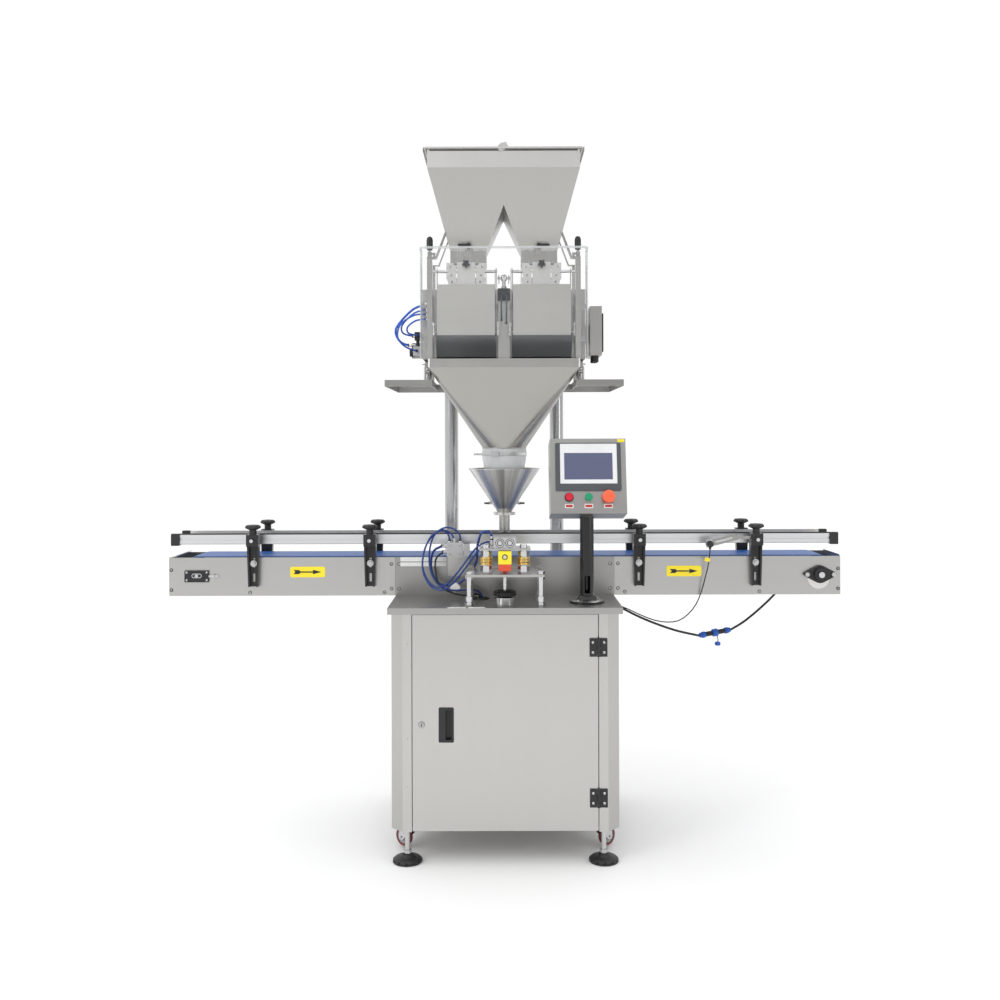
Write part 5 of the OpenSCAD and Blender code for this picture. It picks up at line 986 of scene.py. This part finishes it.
# %% Bare plates on the table, the conveyor and the control box
BUTTONS = (("stop", -62), ("start", 0), ("emergency", 62))
plate("conveyor_strip_upper", (-276, 936), 156, 14, on_conveyor, white_plate, 3, 1.5)
plate("conveyor_strip_lower", (-276, 919), 156, 13, on_conveyor, white_plate, 3, 1.5)
plate("table_strip_left", (-152, -341), 58, 13, on_table, pale_plastic, 1.2, 2)
plate("table_strip_right", (-89, -341), 52, 13, on_table, pale_plastic, 1.2, 2)
for name, u in BUTTONS:
    plate("button_tag_" + name, (u, 24), 27, 13, on_box, white_plate, 0.8, 2)
plate("panel_tag", (106, 235), 22, 9, on_box, yellow_plate, 0.6, 1)

# %% [markdown]
# ## Sensors, tags and fittings
# The level sensor is a small moulded block clipped to the hopper's rim, a little askew. The cable tag and
# the loose plug are moulded too. The hoses end in push-in fittings: a hexagon that screws in, and a ring
# that is pressed to let the hose go. Two of them run down into the table instead, so their second end has
# none.

# %% Level sensor, tag and loose plug
def askew(middle, angles):
    """Places (u, v, w) in millimetres about a middle, turned by Euler angles."""
    turn = Euler([math.radians(a) for a in angles]).to_matrix()
    return lambda u, v, w: (Vector(middle) + turn @ Vector((u, v, w))) / 1000


at_rim = askew((-3, -96, 2329), (90, -28, 0))
piece_of("level_sensor", clip_grey, flat=[
    (round_plate(34, 20, 5), -9, 9, at_rim), (round_plate(20, 26, 6), -5, 5, at_rim)])
piece_of("sensor_clip", sheet_bright, flat=[
    (round_plate(26, 8, 2), -8, 8, askew((-3, -93, 2328), (90, 0, 0)))])
piece_of("cable_tag", yellow_plate, flat=[
    (round_plate(17, 12, 2), -2.6, 2.6, askew((681, -112, 936), (90, 8, 0)))])
at_plug = askew((-165, -140, 848), (90, -38, 0))
piece_of("loose_plug", white_plate, flat=[
    (round_plate(30, 20, 2.5), -8, 8, at_plug), (round_plate(22, 26, 2), -5, 5, at_plug)])

# %% Push-in fittings at the ends of the hoses
FITTED = {
    "head_hose": (LEFT, LEFT), "station_hose": (LEFT, DOWN), "drain_lead": (LEFT, None),
    "head_hose_middle": (LEFT, LEFT), "head_hose_outer": (LEFT, FORWARD), "head_hose_inner": (LEFT, FORWARD),
    "station_hose_back": (UP, None), "station_hose_front": (LEFT, UP), "station_hose_middle": (LEFT, UP),
    "actuator_hose_left": (FORWARD, FORWARD), "actuator_hose_right": (FORWARD, FORWARD)}
hexagons, collars = [], []
for name, ways in FITTED.items():
    width, points = ROUTES[name]
    r = 0.0062 if name == "drain_lead" else {8: 0.0062, 6: 0.0054, 4: 0.0042}[width]
    for end, way in zip((points[0], points[-1]), ways):
        if way:
            start = Vector(end) / 1000 - Vector(way) * 0.002
            hexagons.append((start, way, [(r, 0), (r, 0.007)], 6))
            collars.append((start + Vector(way) * 0.0068, way, [
                (0.9 * r, 0), (0.97 * r, 0.001), (0.97 * r, 0.004), (0.74 * r, 0.005)], 20))
piece_of("fitting_hexagons", polished, hexagons)
piece_of("fitting_collars", black_plastic, collars)

# %% [markdown]
# ## Edges that catch the eye
# A sheet shows its edge more than its face. The clear guard has a pale sawn edge all round, made brighter
# than the cut alone as a painted highlight. The hopper's rim is folded outwards so that nobody meets a
# sharp edge; the fold's underside is painted shade, and a thin dark strip under it is a painted shadow.
# Black blocks close the ends of the rails.

# %% Edge of the guard, rim of the hopper, ends of the rails
def level(u, v, w):
    return Vector((u, v, w)) / 1000


def guard_line(inset):
    """The guard's U, seen from above and moved in by a few millimetres."""
    bend, half, front, back = 26, 282, -150, -66
    r = bend - inset
    out = [(inset - half, back)]
    for x, first in ((bend - half, 180), (half - bend, 270)):
        out += [(x + u, front + bend + v) for u, v in (spoke(r, a) for a in range(first, first + 91, 15))]
    return out + [(half - inset, back)]


guard_ends = [([(s * 282.7, -68), (s * 282.7, -65), (s * 277.3, -65), (s * 277.3, -68)], 1617.5, 1978, level)
              for s in BOTH]
piece_of("guard_edge", acrylic_edge_and_glare, body="guard", flat=[
    (guard_line(-0.7) + guard_line(4.7)[::-1], 1978, 1985, level)] + guard_ends)


def rect(x, y0, y1):
    return [(-x, y0), (x, y0), (x, y1), (-x, y1)]


bm = bmesh.new()
outer, inner = rect(264, -106, 306), rect(256.5, -98.5, 298.5)
loops = [[bm.verts.new(level(u, v, w)) for u, v in line] for line, w in (
    (outer, 2322.2), (outer, 2328.3), (inner, 2328.3), (inner, 2322.2))]
for a, b in zip(loops, loops[1:] + loops[:1]):
    for i in range(4):
        j = (i + 1) % 4
        bm.faces.new([a[i], a[j], b[j], b[i]])
rim = finish_mesh("hopper_rim_fold", bm, white_steel)
# The fold's underside gets dark_steel: painted shade where the fold hides the light.
rim.data.materials.append(dark_steel)
for face in rim.data.polygons:
    face.material_index = int(face.normal.z < -0.5)
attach(rim, "frame")
# A thin dark strip on the hopper's face under the fold: a painted shadow.
piece_of("rim_painted_shadow", dark_steel, flat=[
    ([(-250, 2315.5), (250, 2315.5), (250, 2320.5), (-250, 2320.5)], 0, 0.5, on_front(-100))])
piece_of("rail_end_blocks", black_plastic, flat=[
    (round_plate(29, 41, 3, (s * 1126, 1001.5)), 0, 18, on_front(wall))
    for s in BOTH for wall in (-34.5, 92.5)])

# %% [markdown]
# ## Marks that make fasteners readable
# On bright sheet a bright screw would vanish. Each one is drawn with painted shade: a very thin dark ring
# stands for the shade in the gap under its head, and a dark disc for the shade in its socket.

# %% Painted shade in the gaps and sockets of the conveyor's screws
screws = [(s * 371.5 + d, z) for s in BOTH for d in (-13, 13) for z in (836, 920)]
screws += [(x, 824) for x in (-865, -408, 408, 865)]
screws += [(s * 1132, z) for s in BOTH for z in (833, 901)]
bolts("screw_gap_shade", satin_black, [((x, FRONT_Y, z), FORWARD) for x, z in screws],
      sides=20, radius=0.0062, top=0.0062, height=0.00025, socket=0.9, sink=0.00001)
bolts("screw_socket_shade", satin_black, [((x, FRONT_Y - 1.42, z), FORWARD) for x, z in screws],
      sides=6, radius=0.0024, top=0.0024, height=0.0001, socket=0.9, sink=0.00001)
for name, u in BUTTONS:
    plate("button_field_" + name, (u, 24), 22, 8, on_box, tag_red, 1.1, 1)

# %% Discs and rings on the station, the sensor and the drive bearing
piece_of("station_discs", polished, [
    ((x, -0.2937, 1.011), FORWARD, [(0.0074, 0), (0.0068, 0.0008)], 32) for x in (-0.016, 0.016)] + [
    ((0, -0.3083, 0.968), FORWARD, [(0.0064, 0), (0.0064, 0.003), (0.0050, 0.005)], 28),
    ((0.690, -0.1045, 0.989), FORWARD, [(0.0138, 0), (0.0138, 0.005), (0.0128, 0.007)], 32)])
piece_of("disc_rings", satin_black, [
    ((x, -0.2935, 1.011), FORWARD, [(0.0095, 0), (0.0095, 0.0003)], 32) for x in (-0.016, 0.016)] + [
    ((0, -0.308, 0.968), FORWARD, [(0.0090, 0), (0.0090, 0.0004)], 28)])
for name, finish, width, height, low, high in (
        ("cover", satin_black, 24, 24, 0, 0.2), ("rim", polished, 34, 15, 0.2, 0.5),
        ("slot", black_plastic, 30, 11, 0.5, 0.7), ("bolt", screw_steel, 12, 12, 0.7, 3.5)):
    piece_of("take_up_" + name, finish, flat=[
        (round_plate(width, height, height / 2, (TAIL_X, AXLE_Z)), low, high, on_front(-79.05))])
LOCK = (-264, 444)
piece_of("lock_gap", satin_black, body="door", flat=[
    (round_plate(21.6, 21.6, 10.8, LOCK), 0, 0.3, on_front(FACE_Y))])
piece_of("lock_keyway", satin_black, body="lock", flat=[
    (round_plate(2.6, 9, 1, LOCK), 0, 0.2, on_front(FACE_Y - 3))])
shim = [(1066 + u, 869 + v) for u, v in (spoke(37, a) for a in range(0, 360, 10))]
piece_of("bearing_shim", sheet_bright, flat=[(shim, 0, 0.8, on_conveyor)])

# %% Linkage over the flap actuator, and the rods beside the buckets
def across_head(u, v, w):
    return Vector((w, -48 + u, 1890 + v)) / 1000


piece_of("actuator_linkage", polished, [
    ((0, -0.048, 1.859), UP, [(0.0095, 0), (0.0095, 0.006)], 6),
    ((0, -0.048, 1.884), UP, [(0.008, 0), (0.010, 0.004), (0.010, 0.016), (0.006, 0.021)], 24),
    ((-0.022, -0.048, 1.894), RIGHT, [(0.0045, 0), (0.0045, 0.044)], 16)], [
    (round_plate(13, 30, 6), s * 17 - 2, s * 17 + 2, across_head) for s in BOTH])
piece_of("flap_links", screw_steel, [
    ((x, -0.096, 1.692 + z), UP, [(r, 0), (r, height)], sides) for x in (-0.238, -0.020, 0.020, 0.238)
    for z, r, height, sides in ((0, 0.0026, 0.046, 12), (0.004, 0.0062, 0.005, 6),
                                (0.036, 0.0062, 0.005, 6))])

# %% [markdown]
# ## Studio
# The photograph is a catalogue picture: a white room behind the machine and a dimmer one behind the
# camera, so that the steel reads as mid grey with soft highlights. A white world alone would bleach it.
# The world's colour therefore follows the direction, from white at the back to grey at the front right, a
# very soft sun above keeps the floor white, and two soft boxes at the front draw the highlights.

# %% Floor
floor_mesh = bpy.data.meshes.new("studio_floor")
floor_mesh.from_pydata([(-60, -60, 0), (60, -60, 0), (60, 60, 0), (-60, 60, 0)], [], [(0, 1, 2, 3)])
floor = put_in_scene("studio_floor", floor_mesh)
pale = Finish("studio_floor")
pale.set(Base_Color=pale.between(pale.noise(40, 2), (0.86, 0.86, 0.86), (0.88, 0.88, 0.88)), Roughness=0.9)
floor_mesh.materials.append(pale.material)
print("floor:", floor.name)

# %% The room round the machine
world = bpy.data.worlds.new("studio")
bpy.context.scene.world = world
world.use_nodes = True
room = Nodes(world.node_tree)
way = room.node("ShaderNodeTexCoord", {}, {}, "Generated")
way = room.node("ShaderNodeMapping", {}, {"Vector": way, "Location": (0.5, 0, 0), "Scale": (0.5, 0.5, 0.5),
                                          "Rotation": (0, 0, math.radians(-112))})
fade = room.node("ShaderNodeTexGradient", {}, {"Vector": way}, "Fac")
wall_tones = [(0.10, (0.42, 0.42, 0.42)), (0.62, (1, 1, 1))]
walls = room.node("ShaderNodeValToRGB", {"stops": wall_tones}, {"Fac": fade}, "Color")
# Whatever looks at the wall itself sees white; only the steel sees the dimmer side.
seen = room.node("ShaderNodeLightPath", {}, {}, "Is Camera Ray")
shown = room.node("ShaderNodeMix", {"data_type": "RGBA"}, {0: seen, 6: walls, 7: (1, 1, 1, 1)}, 2)
background = room.tree.nodes["Background"]
room.tree.links.new(shown.socket, background.inputs["Color"])
background.inputs["Strength"].default_value = 1.02
bpy.context.scene.view_settings.view_transform = "Standard"
print("room:", len(room.tree.nodes), "nodes")


# %% Soft boxes
def softbox(name, place, aim, size, power):
    data = bpy.data.lights.new(name, "AREA")
    data.shape, data.size, data.size_y, data.energy = "RECTANGLE", size[0], size[1], power
    lamp = put_in_scene(name, data)
    lamp.location = place
    lamp.rotation_euler = (Vector(aim) - Vector(place)).to_track_quat("-Z", "Y").to_euler()


MIDDLE = (0, 0, 1.2)
softbox("key", (-3.6, -3.4, 3.4), MIDDLE, (1.6, 3.2), 60)
softbox("fill", (3.8, -2.6, 2.2), MIDDLE, (1.2, 3.2), 26)
ceiling = bpy.data.lights.new("ceiling", "SUN")
ceiling.angle, ceiling.energy = math.radians(100), 1.25
put_in_scene("ceiling", ceiling).rotation_euler = (math.radians(14), 0, 0)
print("lamps:", len(bpy.data.lights))
